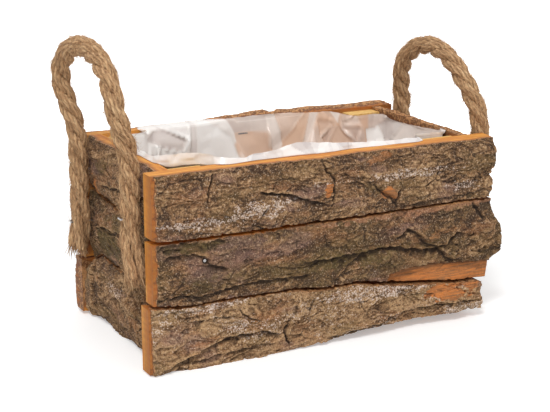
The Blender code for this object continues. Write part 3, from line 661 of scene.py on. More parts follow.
@dataclass(frozen=True)
class SteelFinish:
    """Bright wire of the nails and staples."""

    steel: Colour = paint(180, 176, 172)
    dull: Colour = paint(150, 150, 156)

    def make(self) -> Material:
        """Builds the material with faint drawn streaks and dull spots."""
        made, nodes, shader = finish_nodes("bright steel", 0.3, 1.0)
        spots = nodes.noise(nodes.object_place(), 900.0, 2.0)
        nodes.feed(shader, {"Base Color": nodes.mix(nodes.spread(spots, 0.4, 0.7), self.steel, self.dull),
                            "Roughness": nodes.spread(spots, 0.3, 0.7, 0.24, 0.42)})
        return made


# The box

@dataclass(frozen=True)
class BoxSizes:
    """The box's own sizes, read from the CAD pieces."""

    middle_x: float
    inner_x: float
    inner_y: float
    rim: float
    course: float

    @classmethod
    def read(cls) -> "BoxSizes":
        """Takes the sawn inner faces and the rim from the slabs' boxes."""
        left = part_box("left_end_slab_middle")[1][0]
        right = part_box("right_end_slab_middle")[0][0]
        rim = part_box("front_slab_top")[1][2]
        return cls((left + right) / 2, (right - left) / 2, -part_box("front_slab_middle")[1][1], rim, rim / 3)


class Wall(Enum):
    """A wall's direction along it and its direction out through the bark."""

    FRONT = ((1, 0, 0), (0, -1, 0))
    BACK = ((1, 0, 0), (0, 1, 0))
    LEFT = ((0, 1, 0), (-1, 0, 0))
    RIGHT = ((0, 1, 0), (1, 0, 0))

    @property
    def is_long(self) -> bool:
        """Whether it is a front or back wall."""
        return self in (Wall.FRONT, Wall.BACK)

    def world(self, sizes: BoxSizes, along: Array, depth: Array, up: Array) -> Array:
        """Points of the box from places along, out of and up the wall's sawn face."""
        ahead, out = (np.array(axis, float) for axis in self.value)
        face = sizes.inner_y if self.is_long else sizes.inner_x
        origin = np.array([sizes.middle_x, 0, 0]) + face * out
        rise = np.array([0, 0, 1.0])
        return origin + along[..., None] * ahead + depth[..., None] * out + up[..., None] * rise

    def local(self, sizes: BoxSizes, point: Array) -> tuple[float, float, float]:
        """A point's place along, out of and up the wall's sawn face."""
        ahead, out = (np.array(axis, float) for axis in self.value)
        away = np.asarray(point, float) - np.array([sizes.middle_x, 0, 0])
        face = sizes.inner_y if self.is_long else sizes.inner_x
        return float(away @ ahead), float(away @ out) - face, float(away[2])


class Coat(Enum):
    """What covers a patch of bark."""

    LICHEN = "lichen"
    MOSS = "moss"
    SCRAPE = "scrape"
    INNER = "inner"


@dataclass(frozen=True)
class Ledge:
    """A step in the bark: above its line the bark stands out over what lies below. In mm."""

    points: Points
    drop: float = 2.0
    above: float = 9.0
    below: float = 4.5


@dataclass(frozen=True)
class Crack:
    """A narrow groove along a line. In mm."""

    points: Points
    depth: float = 1.8
    width: float = 0.6


@dataclass(frozen=True)
class Patch:
    """An oval place with a coat, raised or sunk. In mm and degrees."""

    centre: tuple[float, float]
    reach: tuple[float, float]
    coat: Coat | None = None
    strength: float = 1.0
    rise: float = 0.0
    tilt: float = 0.0


@dataclass(frozen=True)
class Stripped:
    """Where bark is gone below a line between two places along, so that smooth wood shows. In mm."""

    points: Points
    sunk: float = 3.4


Feature = Ledge | Crack | Patch | Stripped


@dataclass(frozen=True)
class SlabCut:
    """How one slab is cut: places along in mm, and edge heights in thousandths of a course.

    A lip is drawn as places up the slab, from 0 to 1, each with how far the bark stands past the
    sawn end there, in mm. A crest is drawn as places along, each with how far the bark stands above
    the sawn upper edge there, in mm. Where the upper edge or an end is torn, bark covers more of it,
    as many times its thickness as its bark number says. The rim's roughness and its start are in mm.
    """

    name: str
    wall: Wall
    course: int
    seed: int
    start: float
    end: float
    low_edge: tuple[int, ...]
    high_edge: tuple[int, ...]
    start_lip: Points = ((0.0, 0.0), (1.0, 0.0))
    end_lip: Points = ((0.0, 0.0), (1.0, 0.0))
    tone: float = 0.0
    lichen: float = 0.0
    moss: float = 0.0
    bare_start: float = 0.0
    crest: Points = ((-200.0, 0.0), (200.0, 0.0))
    rim_bark: float = 0.5
    rim_rough: float = 0.0
    rim_rough_from: float = -200.0
    end_bark: float = 2.0
    inner_bark: float = 0.0
    features: tuple[Feature, ...] = ()


@dataclass
class BarkRelief:
    """One slab's bark worked out on a grid of places, all in mm."""

    along: Array
    up: Array
    seed: int
    noise: Noise = field(init=False)
    bent_along: Array = field(init=False)
    bent_up: Array = field(init=False)
    height: Array = field(init=False)
    coats: dict[Coat, Array] = field(init=False)
    # dark: painted shade in grooves and cracks, under ledges and along the edge of stripped bark
    dark: Array = field(init=False)

    plate_length: float = 48.0
    plate_height: float = 17.0
    plate_step: float = 1.0
    scale_length: float = 17.0
    scale_height: float = 8.0
    scale_step: float = 0.34
    crack_length: float = 30.0
    crack_height: float = 15.0
    crack_depth: float = 1.0
    crack_share: float = 0.055
    grit_height: float = 0.40
    most: float = 3.2
    ledge_taper: float = 0.12
    crack_taper: float = 0.2
    full_drop: float = 2.4

    def __post_init__(self) -> None:
        """Builds the bark that any slab has."""
        self.noise = Noise(self.seed)
        at, along, up = self.noise.at, self.along, self.up
        self.bent_along = along + 5.0 * at(along / 31 + 5, up / 16)
        self.bent_up = up + 2.6 * at(along / 23, up / 11 + 9)
        self.coats = {coat: np.zeros(along.shape) for coat in Coat}
        self.dark = np.zeros(along.shape)
        self.height = self.plates() + self.scales() + self.grit()
        self.split()

    @staticmethod
    def terraces(value: Array, ledge: float, fall: float) -> Array:
        """Steps at whole numbers: a quick rise over the ledge's share, then a slow fall."""
        base = np.floor(value)
        part = value - base
        return base + smooth_step(part / ledge) - fall * part

    def plates(self) -> Array:
        """Large plates: a slow noise cut into steps."""
        value = self.noise.at(self.bent_along / self.plate_length, self.bent_up / self.plate_height)
        value = value + 0.45 * self.noise.at(self.bent_along / 19 + 3, self.bent_up / 8)
        steps = self.terraces(2.4 * value, 0.10, 0.55)
        return self.plate_step * (steps - steps.mean())

    def scales(self) -> Array:
        """Small scales: the same at a smaller pitch."""
        value = self.noise.at(self.bent_along / self.scale_length + 40, self.bent_up / self.scale_height)
        steps = self.terraces(2.3 * value, 0.16, 0.6)
        return self.scale_step * (steps - steps.mean())

    def grit(self) -> Array:
        """Fine roughness: three noises."""
        return self.grit_height * self.noise.layers(self.along / 4.0, self.up / 3.2, 3, 0.75)

    def split(self) -> None:
        """Grooves between plates, deep in some places and closed in others, with painted shade in them."""
        margin, tone = self.noise.cells(self.bent_along / self.crack_length, self.bent_up / self.crack_height)
        open_share = smooth_step(2.4 * self.noise.at(self.along / 37 + 11, self.up / 19) - 0.35)
        groove = bell(margin, self.crack_share) * open_share
        self.height = self.height + 0.5 * (tone - 0.5) - self.crack_depth * groove
        # The grooves get painted shade.
        self.dark = np.maximum(self.dark, 0.50 * groove)
        self.height = np.clip(self.height, -self.most, self.most)

    def wavered(self) -> tuple[Array, Array]:
        """The places, shifted a little so that drawn lines waver."""
        at = self.noise.at
        return (self.along + 1.3 * at(self.along / 5 + 60, self.up / 5),
                self.up + 1.1 * at(self.along / 5, self.up / 5 + 60))

    def add(self, feature: Feature) -> None:
        """Adds one drawn feature."""
        if isinstance(feature, Patch):
            self.add_patch(feature)
            return
        signed, share = line_places(*self.wavered(), feature.points)
        if isinstance(feature, Ledge):
            self.add_ledge(feature, signed, tapered(share, self.ledge_taper))
        elif isinstance(feature, Crack):
            self.add_crack(feature, signed, tapered(share, self.crack_taper))
        else:
            self.strip(feature, signed)

    def add_ledge(self, ledge: Ledge, signed: Array, taper: Array) -> None:
        """Raises the bark above a line, sinks it below, and paints a crisp and a soft band of shadow just
        below the line.
        """
        upper = smooth_step(0.5 + signed / 1.1)
        away = np.abs(signed)
        lift = 0.45 * upper * np.exp(-away / ledge.above)
        fall = 0.75 * (1 - upper) * bell(away, ledge.below)
        self.height = self.height + ledge.drop * taper * (lift - fall)
        # Painted shadow: a crisp and a soft band just below the ledge's line
        line = np.maximum(0.60 * bell(signed + 1.0, 1.2), 0.30 * bell(signed + 3.0, 3.0))
        self.dark = np.maximum(self.dark, taper * line * min(1.0, ledge.drop / self.full_drop))

    def add_crack(self, crack: Crack, signed: Array, taper: Array) -> None:
        """Cuts a groove along a line and paints shade into it."""
        core = bell(signed, crack.width)
        self.height = self.height - crack.depth * (core * (0.25 + 0.75 * taper))
        self.dark = np.maximum(self.dark, core * (0.3 + 0.7 * taper))

    def add_patch(self, patch: Patch) -> None:
        """Raises or sinks a patch and lays its coat."""
        inside = self.oval(patch)
        self.height = self.height + patch.rise * inside
        if patch.coat is not None:
            self.coats[patch.coat] = np.maximum(self.coats[patch.coat], patch.strength * inside)

    def strip(self, stripped: Stripped, signed: Array) -> None:
        """Takes the bark off below a line, down to smooth wood with faint waves, and paints the shadow of the
        bark's edge along the line.
        """
        bare = smooth_step(0.5 - signed / 0.9) * (self.along > stripped.points[0][0] - 1)
        waves = 0.25 * np.sin(self.up / 1.7 + self.along / 30)
        smooth = 0.25 * self.height - stripped.sunk + waves
        self.height = self.height * (1 - bare) + smooth * bare
        self.coats[Coat.SCRAPE] = np.maximum(self.coats[Coat.SCRAPE], bare)
        # Painted shadow of the bark's edge along the stripped line
        self.dark = np.maximum(self.dark * (1 - bare), 0.8 * bell(signed, 0.8))

    def oval(self, patch: Patch) -> Array:
        """From 1 inside a patch to 0 outside, with a ragged rim."""
        turn = math.radians(patch.tilt)
        away_along, away_up = self.along - patch.centre[0], self.up - patch.centre[1]
        x = (away_along * math.cos(turn) + away_up * math.sin(turn)) / patch.reach[0]
        y = (away_up * math.cos(turn) - away_along * math.sin(turn)) / patch.reach[1]
        ragged = 0.55 * self.noise.layers(self.along / 9 + 90, self.up / 6, 3, 0.6)
        return smooth_step((1.25 - np.hypot(x, y) + ragged) / 0.5)


SEEN_NAILS = ("front_middle_nail_left", "left_top_nail_back")


@dataclass
class BarkSlab:
    """One slab, from its cut to its finished piece."""

    cut: SlabCut
    sizes: BoxSizes
    pitch_mm: float = 0.65
    side_rows: int = 11
    saw_wave: float = 0.22
    sawn_rim: float = 0.5
    torn_end: float = 1.1
    long_edge: float = 15.6
    long_swell: float = 1.1
    lump_depth: float = 1.2
    left_edge: float = 10.5
    right_edge: float = 7.0
    end_limit: float = 17.5
    swell_power: float = 2.5
    lump_length: float = 70.0
    lump_shares: tuple[float, ...] = (1.0, 0.62, 0.41, 0.29)
    lump_stretch: float = 1.9
    slab_gap: float = 0.5
    nail_pit: float = 1.7
    nail_cover: float = 0.3
    nail_show: float = 0.35
    least_depth: float = 6.0
    bark_thickness: float = 2.2
    crest_share: float = 0.18
    lip_power: int = 14
    # How far and how deep the painted shade in hollows reaches
    hollow_reach: float = 1.6
    hollow_depth: float = 0.8
    wide_reach: float = 4.5
    wide_depth: float = 2.6
    most_cavity: float = 0.88
    place_shift: float = 0.013
    sharp_degrees: float = 58.0

    def lumps(self, along: Array, up: Array) -> Array:
        """The CAD solid's slow lumps: crossed sine waves with seeded bearings and phases."""
        draws = np.random.RandomState(self.cut.seed)
        total = np.zeros(along.shape)
        for share in self.lump_shares:
            bearing, phase = draws.uniform(-1, 1), draws.uniform(0, 2 * math.pi)
            path = along * math.cos(bearing) + up * self.lump_stretch * math.sin(bearing)
            total = total + share * np.sin(2 * math.pi * path / (self.lump_length * share) + phase)
        return total / sum(self.lump_shares)

    def edges(self, share: Array, along: Array, noise: Noise) -> tuple[Array, Array]:
        """Heights of the lower and upper edge, in mm, each ragged only into the slab."""
        course = self.sizes.course / MM
        base = self.cut.course * course
        places = np.linspace(0, 1, len(self.cut.low_edge))
        low, high = (base + course * np.interp(share, places, np.array(edge) / 1000)
                     for edge in (self.cut.low_edge, self.cut.high_edge))
        ragged = [np.abs(noise.layers(along / 9 + start, along * 0 + start, 3, 0.6)) for start in (5, 50)]
        notches = [1.8 * np.clip(torn - 0.30, 0, 1) + 0.15 * torn for torn in ragged]
        low = low + notches[0] + (self.slab_gap / 2 if self.cut.course else 0)
        if self.cut.course < 2:
            high = high - notches[1] - self.slab_gap / 2
        return low, high

    def smooth_depth(self, along: Array, up: Array, across: Array) -> Array:
        """The CAD solid's bark: wane edges, a swell between them and the slow lumps."""
        edge = {Wall.LEFT: self.left_edge, Wall.RIGHT: self.right_edge}.get(self.cut.wall, self.long_edge)
        crown = 1 - np.abs(2 * across - 1) ** self.swell_power
        swell = self.long_swell if self.cut.wall.is_long else self.end_limit - self.lump_depth - edge
        return edge + swell * crown + self.lump_depth * self.lumps(along, up)

    def nail_pits(self, depth: Array, along: Array, up: Array) -> Array:
        """Keeps the bark over each nail head that the photograph doesn't show, and behind the others."""
        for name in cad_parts:
            kind = f"{self.cut.wall.name.lower()}_{('bottom', 'middle', 'top')[self.cut.course]}_nail"
            if name.startswith(kind):
                low, high = (np.array(corner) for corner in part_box(name))
                ends = [self.cut.wall.local(self.sizes, corner) for corner in (low, high)]
                head = max(end[1] for end in ends) / MM
                middle = [(ends[0][axis] + ends[1][axis]) / 2 / MM for axis in (0, 2)]
                away = np.hypot(along - middle[0], up - middle[1])
                inside = 1 - smooth_step((away - self.nail_pit) / 1.6)
                if self.cut.wall in (Wall.FRONT, Wall.LEFT) and name not in SEEN_NAILS:
                    level = np.maximum(depth, head + self.nail_cover)
                else:
                    level = np.minimum(depth, head - self.nail_show)
                depth = depth + inside * (level - depth)
        return depth

    def keep_clear(self, depth: Array, along: Array, up: Array) -> Array:
        """Keeps an end wall's bark behind its ropes."""
        if self.cut.wall.is_long:
            return depth
        limit = np.full(depth.shape, self.end_limit + 1.6)
        for tail in ("front", "back"):
            low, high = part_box(f"{self.cut.wall.name.lower()}_handle_tail_{tail}")
            near = (low[1] + high[1]) / 2 / MM
            under = 1 - smooth_step((np.abs(along - near) - 9.0) / 4.0)
            under = under * smooth_step((up - low[2] / MM + 9.0) / 6.0)
            limit = limit - 1.9 * under
        return np.minimum(depth, limit)

    def build(self, bark: Material, sawn: Material) -> Piece:
        """Makes the slab: a grid of bark, side strips back to the sawn face, and that face.

        Args:
            bark: the bark's material.
            sawn: the sawn wood's material.

        Returns:
            The finished piece.
        """
        cut = self.cut
        counts = int((cut.end - cut.start) / self.pitch_mm), int(self.sizes.course / MM / self.pitch_mm)
        share, across = np.meshgrid(*(np.linspace(0, 1, count + 1) for count in counts), indexing="ij")
        sawn_along = cut.start + share * (cut.end - cut.start)
        low, high = self.edges(share, sawn_along, Noise(cut.seed + 100))
        sawn_up = low + across * (high - low)
        near_top = smooth_step((across - (1 - self.crest_share)) / self.crest_share)
        up = sawn_up + along_line(cut.crest, sawn_along) * near_top
        start_lip, end_lip = (along_line(lip, across) for lip in (cut.start_lip, cut.end_lip))
        along = sawn_along - start_lip * (1 - share) ** self.lip_power + end_lip * share ** self.lip_power
        relief = BarkRelief(along, up, cut.seed + 200)
        for feature in cut.features:
            relief.add(feature)
        smooth = self.smooth_depth(along, up, across)
        depth = np.maximum(smooth + relief.height, self.least_depth)
        depth = self.keep_clear(self.nail_pits(depth, along, up), along, up)
        marks = self.coat_marks(relief, depth, along, up)
        bare = self.bare_wood(sawn_along, up, relief.noise)
        depth = depth + bare * (smooth - self.bark_thickness - depth)
        grids = {"along": along, "depth": depth, "up": up, "sawn_along": sawn_along, "sawn_up": sawn_up}
        return self.closed(grids, marks, bare, bark, sawn)

    def bare_wood(self, along: Array, up: Array, noise: Noise) -> Array:
        """From 1 where the bark has come off beside the slab's left end to 0 under the bark."""
        if self.cut.bare_start == 0:
            return np.zeros(along.shape)
        reach = self.cut.bare_start * (1 + 0.45 * noise.layers(up / 13 + 31, up * 0 + 4, 3, 0.6))
        return smooth_step(0.5 + (self.cut.start + reach - along) / 1.4)

    def coat_marks(self, relief: BarkRelief, depth: Array, along: Array, up: Array) -> Grids:
        """The bark's marks: its coats, and its painted shade, from how deep each point lies in a hollow and
        from the relief's shade bands; raised points get a lighter tone, a painted highlight.
        """
        spread = 1 / self.pitch_mm
        hollow = (blurred(depth, self.hollow_reach * spread) - depth) / self.hollow_depth
        wide = (blurred(depth, self.wide_reach * spread) - depth) / self.wide_depth
        # Painted shade from how deep a point lies below its blurred surroundings, plus the relief's shade
        # bands
        painted_shade = 0.25 * hollow + 0.70 * wide + 0.80 * relief.dark - 0.12
        noise = relief.noise
        general = noise.layers(along / 42 + 7, up / 17, 3, 0.6)
        lichen = relief.coats[Coat.LICHEN] + self.cut.lichen * smooth_step(0.3 + general)
        moss = relief.coats[Coat.MOSS] + self.cut.moss * smooth_step(0.4 - general)
        # Points that stand above their surroundings get a lighter tone: a painted highlight.
        raised = np.clip(-hollow, 0, 1)
        tone = self.cut.tone + 0.10 * noise.at(along / 33 + 70, up / 14) + 0.12 * raised
        return {"lichen": np.clip(lichen, 0, 1), "moss": np.clip(moss, 0, 1),
                "inner": relief.coats[Coat.INNER], "scrape": relief.coats[Coat.SCRAPE],
                "painted_shade": np.clip(painted_shade, 0, self.most_cavity), "tone": tone}

    def closed(self, grids: Grids, marks: Grids, bare: Array, bark: Material, sawn: Material) -> Piece:
        """Closes the bark grid with strips of sawn wood and a flat inner face."""
        index = np.arange(bare.size).reshape(bare.shape)
        rim = np.concatenate([index[:-1, 0], index[-1, :-1], index[:0:-1, -1], index[0, :0:-1]])
        columns, rows = bare.shape[0] - 1, bare.shape[1] - 1
        at_end = np.repeat([False, True, False, True], [columns, rows, columns, rows])
        on_top = np.isin(rim, index[:, -1])
        flat = {key: grid.reshape(-1) for key, grid in grids.items()}
        edge = {key: grid[rim] for key, grid in flat.items()}
        noise = Noise(self.cut.seed + 300)
        sides = self.side_places(edge, at_end, on_top, noise)
        along, depth, up = (np.concatenate([flat[key], side.ravel()]) * MM
                            for key, side in zip(("along", "depth", "up"), sides))
        turned = np.concatenate([np.zeros(bare.size, bool), np.tile(at_end, self.side_rows)])
        place = np.stack([np.where(turned, up, along), depth, np.where(turned, along, up)], -1)
        full = {key: np.concatenate([grid.reshape(-1), np.tile(grid.reshape(-1)[rim], self.side_rows)])
                for key, grid in marks.items()}
        skin = 1.5 * self.bark_thickness * bare.reshape(-1)
        under = self.under_bark(edge, at_end, on_top, noise) + skin[rim]
        full["under_bark"] = np.concatenate([skin, under.ravel()]) * MM
        full["place"] = place + self.cut.seed * self.place_shift
        strips = bare.size + np.arange(self.side_rows * len(rim)).reshape(-1, len(rim))
        ring = np.concatenate([rim[None], strips])
        bark_quads, side_quads = quads_of(index), quads_of(ring, closed=True)
        is_bare = bare.reshape(-1)[bark_quads].mean(1) > 0.5
        slots = np.concatenate([is_bare.astype(int), np.ones(len(side_quads), int)])
        surface = Surface(self.cut.wall.world(self.sizes, along, depth, up),
                          np.concatenate([bark_quads, side_quads]), slots, full, [ring[-1][::-1].tolist()])
        finishes = [bark, sawn]
        made = surface.faced_out().piece(self.cut.name + "_bark", "basket", finishes, self.sharp_degrees)
        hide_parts(self.cut.name)
        return made

    @property
    def back(self) -> Array:
        """How far each row of the side strips has gone from the bark to the sawn face."""
        return np.linspace(0, 1, self.side_rows + 1)[1:, None]

    def torn_from(self, edge: Grids) -> Array:
        """From 0 where the upper edge is sawn to 1 where it is torn."""
        return smooth_step((edge["along"] - self.cut.rim_rough_from) / 12)

    def side_places(self, edge: Grids, at_end: Array, on_top: Array,
                    noise: Noise) -> tuple[Array, Array, Array]:
        """Places along, out and up of the side strips, with saw waves at the ends and torn edges."""
        back = self.back
        depth = edge["depth"] * (1 - back)
        along = edge["along"] + back * (edge["sawn_along"] - edge["along"])
        up = edge["up"] + back * (edge["sawn_up"] - edge["up"])
        hump = np.sin(math.pi * back)
        torn = noise.layers(edge["along"] / 6.5, depth / 5.0, 3, 0.7)
        rough = self.cut.rim_rough * self.torn_from(edge)
        up = up + on_top * (hump * np.where(at_end, 0.0, 1.0)) * rough * torn
        grain = self.saw_wave * noise.layers(edge["up"] / 2.4 + 40, depth / 9.0, 2, 0.6)
        return along + np.where(at_end, grain * hump, 0.0), depth, up

    def under_bark(self, edge: Grids, at_end: Array, on_top: Array, noise: Noise) -> Array:
        """How deep the side strips lie under the bark, in mm: less where bark covers more."""
        cut, back, depth = self.cut, self.back, edge["depth"]
        rim_bark = self.sawn_rim + (cut.rim_bark - self.sawn_rim) * self.torn_from(edge)
        under = depth * back / np.where(at_end, cut.end_bark, np.where(on_top, rim_bark, 1.0))
        if cut.inner_bark > 0:
            inside = depth * (1 - back) / cut.inner_bark + 0.3
            under = np.where(at_end, np.minimum(under, inside), under)
        ragged = noise.layers(edge["up"] / 4.0, edge["along"] / 9.0, 2, 0.7)
        return under + self.torn_end * ragged * at_end


# The slabs as cut, with what the photograph shows on each

LICHEN, MOSS, SCRAPE, INNER = Coat
PLAIN_HIGH = (1000,) * 11

FRONT_BOTTOM_FEATURES = (
    Ledge(((-151, 1), (-135, 6), (-122, 11), (-106, 16), (-92, 21), (-76, 22), (-62, 22), (-48, 18),
           (-41, 15)), 3.4, 12, 7),
    Ledge(((-41, 15), (-38, 22), (-36, 28), (-30, 33), (-33, 40)), -2.8, 7, 5),
    Crack(((-42, 17), (-39, 10), (-36, 3)), 2.6, 0.9),
    Ledge(((-122, 5), (-97, 8), (-63, 11), (-44, 9)), 1.6, 4, 4),
    Ledge(((-10, 5), (19, 7), (45, 10), (59, 16), (90, 18), (142, 16)), 2.6, 10, 6),
    Crack(((-80, 43), (-77, 37), (-70, 33), (-62, 29)), 1.5, 0.6),
    Ledge(((-122, 38), (-101, 39), (-80, 37)), 1.3),
    Patch((-17, 31), (11, 5), None, rise=-1.8, tilt=35),
    Patch((-110, 49), (36, 5), LICHEN, 0.9),
    Patch((-88, 33), (18, 5), LICHEN, 0.5, tilt=-20),
    Patch((45, 37), (46, 6), LICHEN, 0.95),
    Patch((-3, 26), (22, 9), LICHEN, 0.45),
    Patch((120, 12), (24, 4), LICHEN, 0.5),
    Patch((-107, 21), (13, 4.5), SCRAPE, 0.46, tilt=10),
    Patch((-58, 34), (20, 4.5), SCRAPE, 0.42, tilt=8),
    Patch((-118, 15), (26, 5), SCRAPE, 0.38),
    Patch((108, 27), (21, 7.5), SCRAPE, 1, rise=-1.4, tilt=-8),
    Patch((134, 29), (9, 6), SCRAPE, 0.8, rise=-1.2),
)

FRONT_MIDDLE_FEATURES = (
    Patch((-60, 102), (95, 3.2), INNER, 0.55),
    Patch((70, 101.5), (90, 5), INNER, 0.9),
    Ledge(((-144, 90), (-131, 91.6), (-118, 91), (-110, 88.5), (-104, 82), (-98, 79), (-88, 77)), 3, 7, 5),
    Ledge(((-148, 58), (-130, 60), (-113, 58), (-84, 60.5), (-63, 62), (-40, 61), (-11, 61.5)), 2.2, 10, 4),
    Patch((-56, 88), (13, 3.5), SCRAPE, 0.4, rise=0.6, tilt=8),
    Patch((3, 89), (9.5, 7.5), None, rise=2),
    Crack(((-7, 95), (-8, 89), (-5, 82), (2, 80.5)), 1.2, 0.6),
    Ledge(((-30, 72), (-2, 71.5), (33, 72.4), (43, 73.4), (57, 73), (76, 68), (88, 66), (101, 65.5),
           (108, 57), (115, 54), (126, 55)), 4.6, 9, 6),
    Ledge(((52, 76), (57, 80), (69, 86.5), (76, 83), (83, 77.5), (88, 71), (97, 68.5), (104, 68), (115, 77),
           (125, 76.6)), 3.6, 8, 4),
    Patch((99, 79), (15, 3.5), SCRAPE, 0.46, rise=0.8, tilt=6),
    Patch((17, 101.5), (14, 1.6), LICHEN, 1),
    Ledge(((-2, 51), (7, 55.6), (18, 65.5), (32, 71.5)), 2.2, 5, 5),
    Crack(((132, 99), (137, 93), (145, 83)), 3, 1.3),
    Patch((141, 74), (12, 12), None, rise=2.8),
    Patch((128, 64), (14, 10), None, rise=2.2),
    Patch((104, 86), (9, 5), None, rise=1.6, tilt=12),
    Patch((62, 82), (7, 5), None, rise=1.2),
    Patch((84, 92), (10, 3), None, rise=-1.4, tilt=10),
    Patch((118, 90), (5, 5), None, rise=-1.6),
    Patch((20, 68), (40, 6), MOSS, 0.9),
    Patch((60, 62), (50, 12), MOSS, 0.5),
    Patch((-60, 66), (60, 7), MOSS, 0.45),
    Patch((-120, 96), (26, 4), MOSS, 0.8, rise=-2.2),
    Stripped(((54, 50), (74, 53), (92, 53), (112, 51.5), (132, 50), (152, 48)), 3.6),
)

FRONT_TOP_FEATURES = (
    Crack(((-103, 152.5), (-102.5, 146), (-105, 138), (-107, 126)), 2.8, 0.75),
    Patch((-132, 135), (14, 2.6), SCRAPE, 0.38, tilt=-12),
    Patch((-112, 113.5), (40, 3.6), LICHEN, 1),
    Patch((-58, 119), (28, 6.5), LICHEN, 1, tilt=2),
    Ledge(((-66, 132.5), (-55, 130), (-35, 126.5), (-19, 120), (-3, 114.5)), 3.4, 11, 7),
    Crack(((-12, 152.6), (-9, 147), (-6, 141), (1, 135), (3, 128), (0, 116), (-2, 111)), 2.6, 0.9),
    Crack(((-61, 138.7), (-48, 139.8), (-29, 138)), 1, 0.45),
    Crack(((-49, 139.6), (-51, 130)), 1, 0.45),
    Patch((-3, 127), (4, 5.5), SCRAPE, 0.85),
    Patch((52, 117), (7.5, 5), SCRAPE, 0.8, tilt=-20),
    Patch((42, 146.5), (11, 4.5), SCRAPE, 0.52, tilt=20),
    Patch((-40, 146), (16, 4), SCRAPE, 0.3),
    Crack(((34, 128), (39, 123), (47, 116), (58, 108), (60, 101.5)), 2.2, 0.8),
    Crack(((62, 119), (60, 114), (58, 109)), 2, 0.8),
    Patch((72, 131), (38, 4), LICHEN, 0.85),
    Patch((124, 115.5), (15, 3.4), LICHEN, 0.9),
    Patch((5, 132), (20, 3), LICHEN, 0.5),
    Patch((-100, 108), (30, 3), LICHEN, 0.4),
    Ledge(((4, 137), (11, 139), (17, 134), (30, 133)), 1.8, 6, 4),
    Patch((101, 127), (6, 4.5), None, rise=-2.6, tilt=-35),
    Patch((109, 121), (6, 2.5), None, rise=-1.8),
    Ledge(((60, 105), (85, 106), (110, 108), (140, 108.5)), 1.4, 6, 3),
    Patch((140, 121), (6, 5), None, rise=-2),
    Patch((38, 122), (10, 4), MOSS, 0.6, tilt=-30),
)

LEFT_BOTTOM_FEATURES = (
    Patch((37, 35), (7, 8), None, rise=-2.2),
    Patch((-24, 41), (6, 6), None, rise=-2.6),
    Patch((64, 22), (7, 26), None, rise=3.4),
    Patch((-34, 23), (14, 6), SCRAPE, 0.45),
    Patch((10, 38), (18, 6), LICHEN, 0.6),
    Ledge(((-62, 12), (-40, 16), (-20, 30), (0, 34), (20, 30)), 2.4),
    Patch((20, 12), (30, 5), MOSS, 0.4),
    Crack(((-55, 30), (-45, 22), (-40, 8)), 2, 0.8),
)

LEFT_MIDDLE_FEATURES = (
    Patch((16, 72), (30, 9), MOSS, 1, rise=-1.6),
    Patch((0, 95), (24, 6), MOSS, 0.7),
    Ledge(((-30, 84), (-10, 90), (15, 86), (40, 88)), 2.6),
)

LEFT_TOP_FEATURES = (
    Patch((44, 117), (4, 12), SCRAPE, 0.7, rise=1.4, tilt=12),
    Patch((30, 135), (9, 6), MOSS, 0.7),
    Crack(((52, 146), (47, 130), (40, 112)), 2.2, 0.9),
    Ledge(((-20, 128), (5, 124), (30, 122)), 2.4),
)

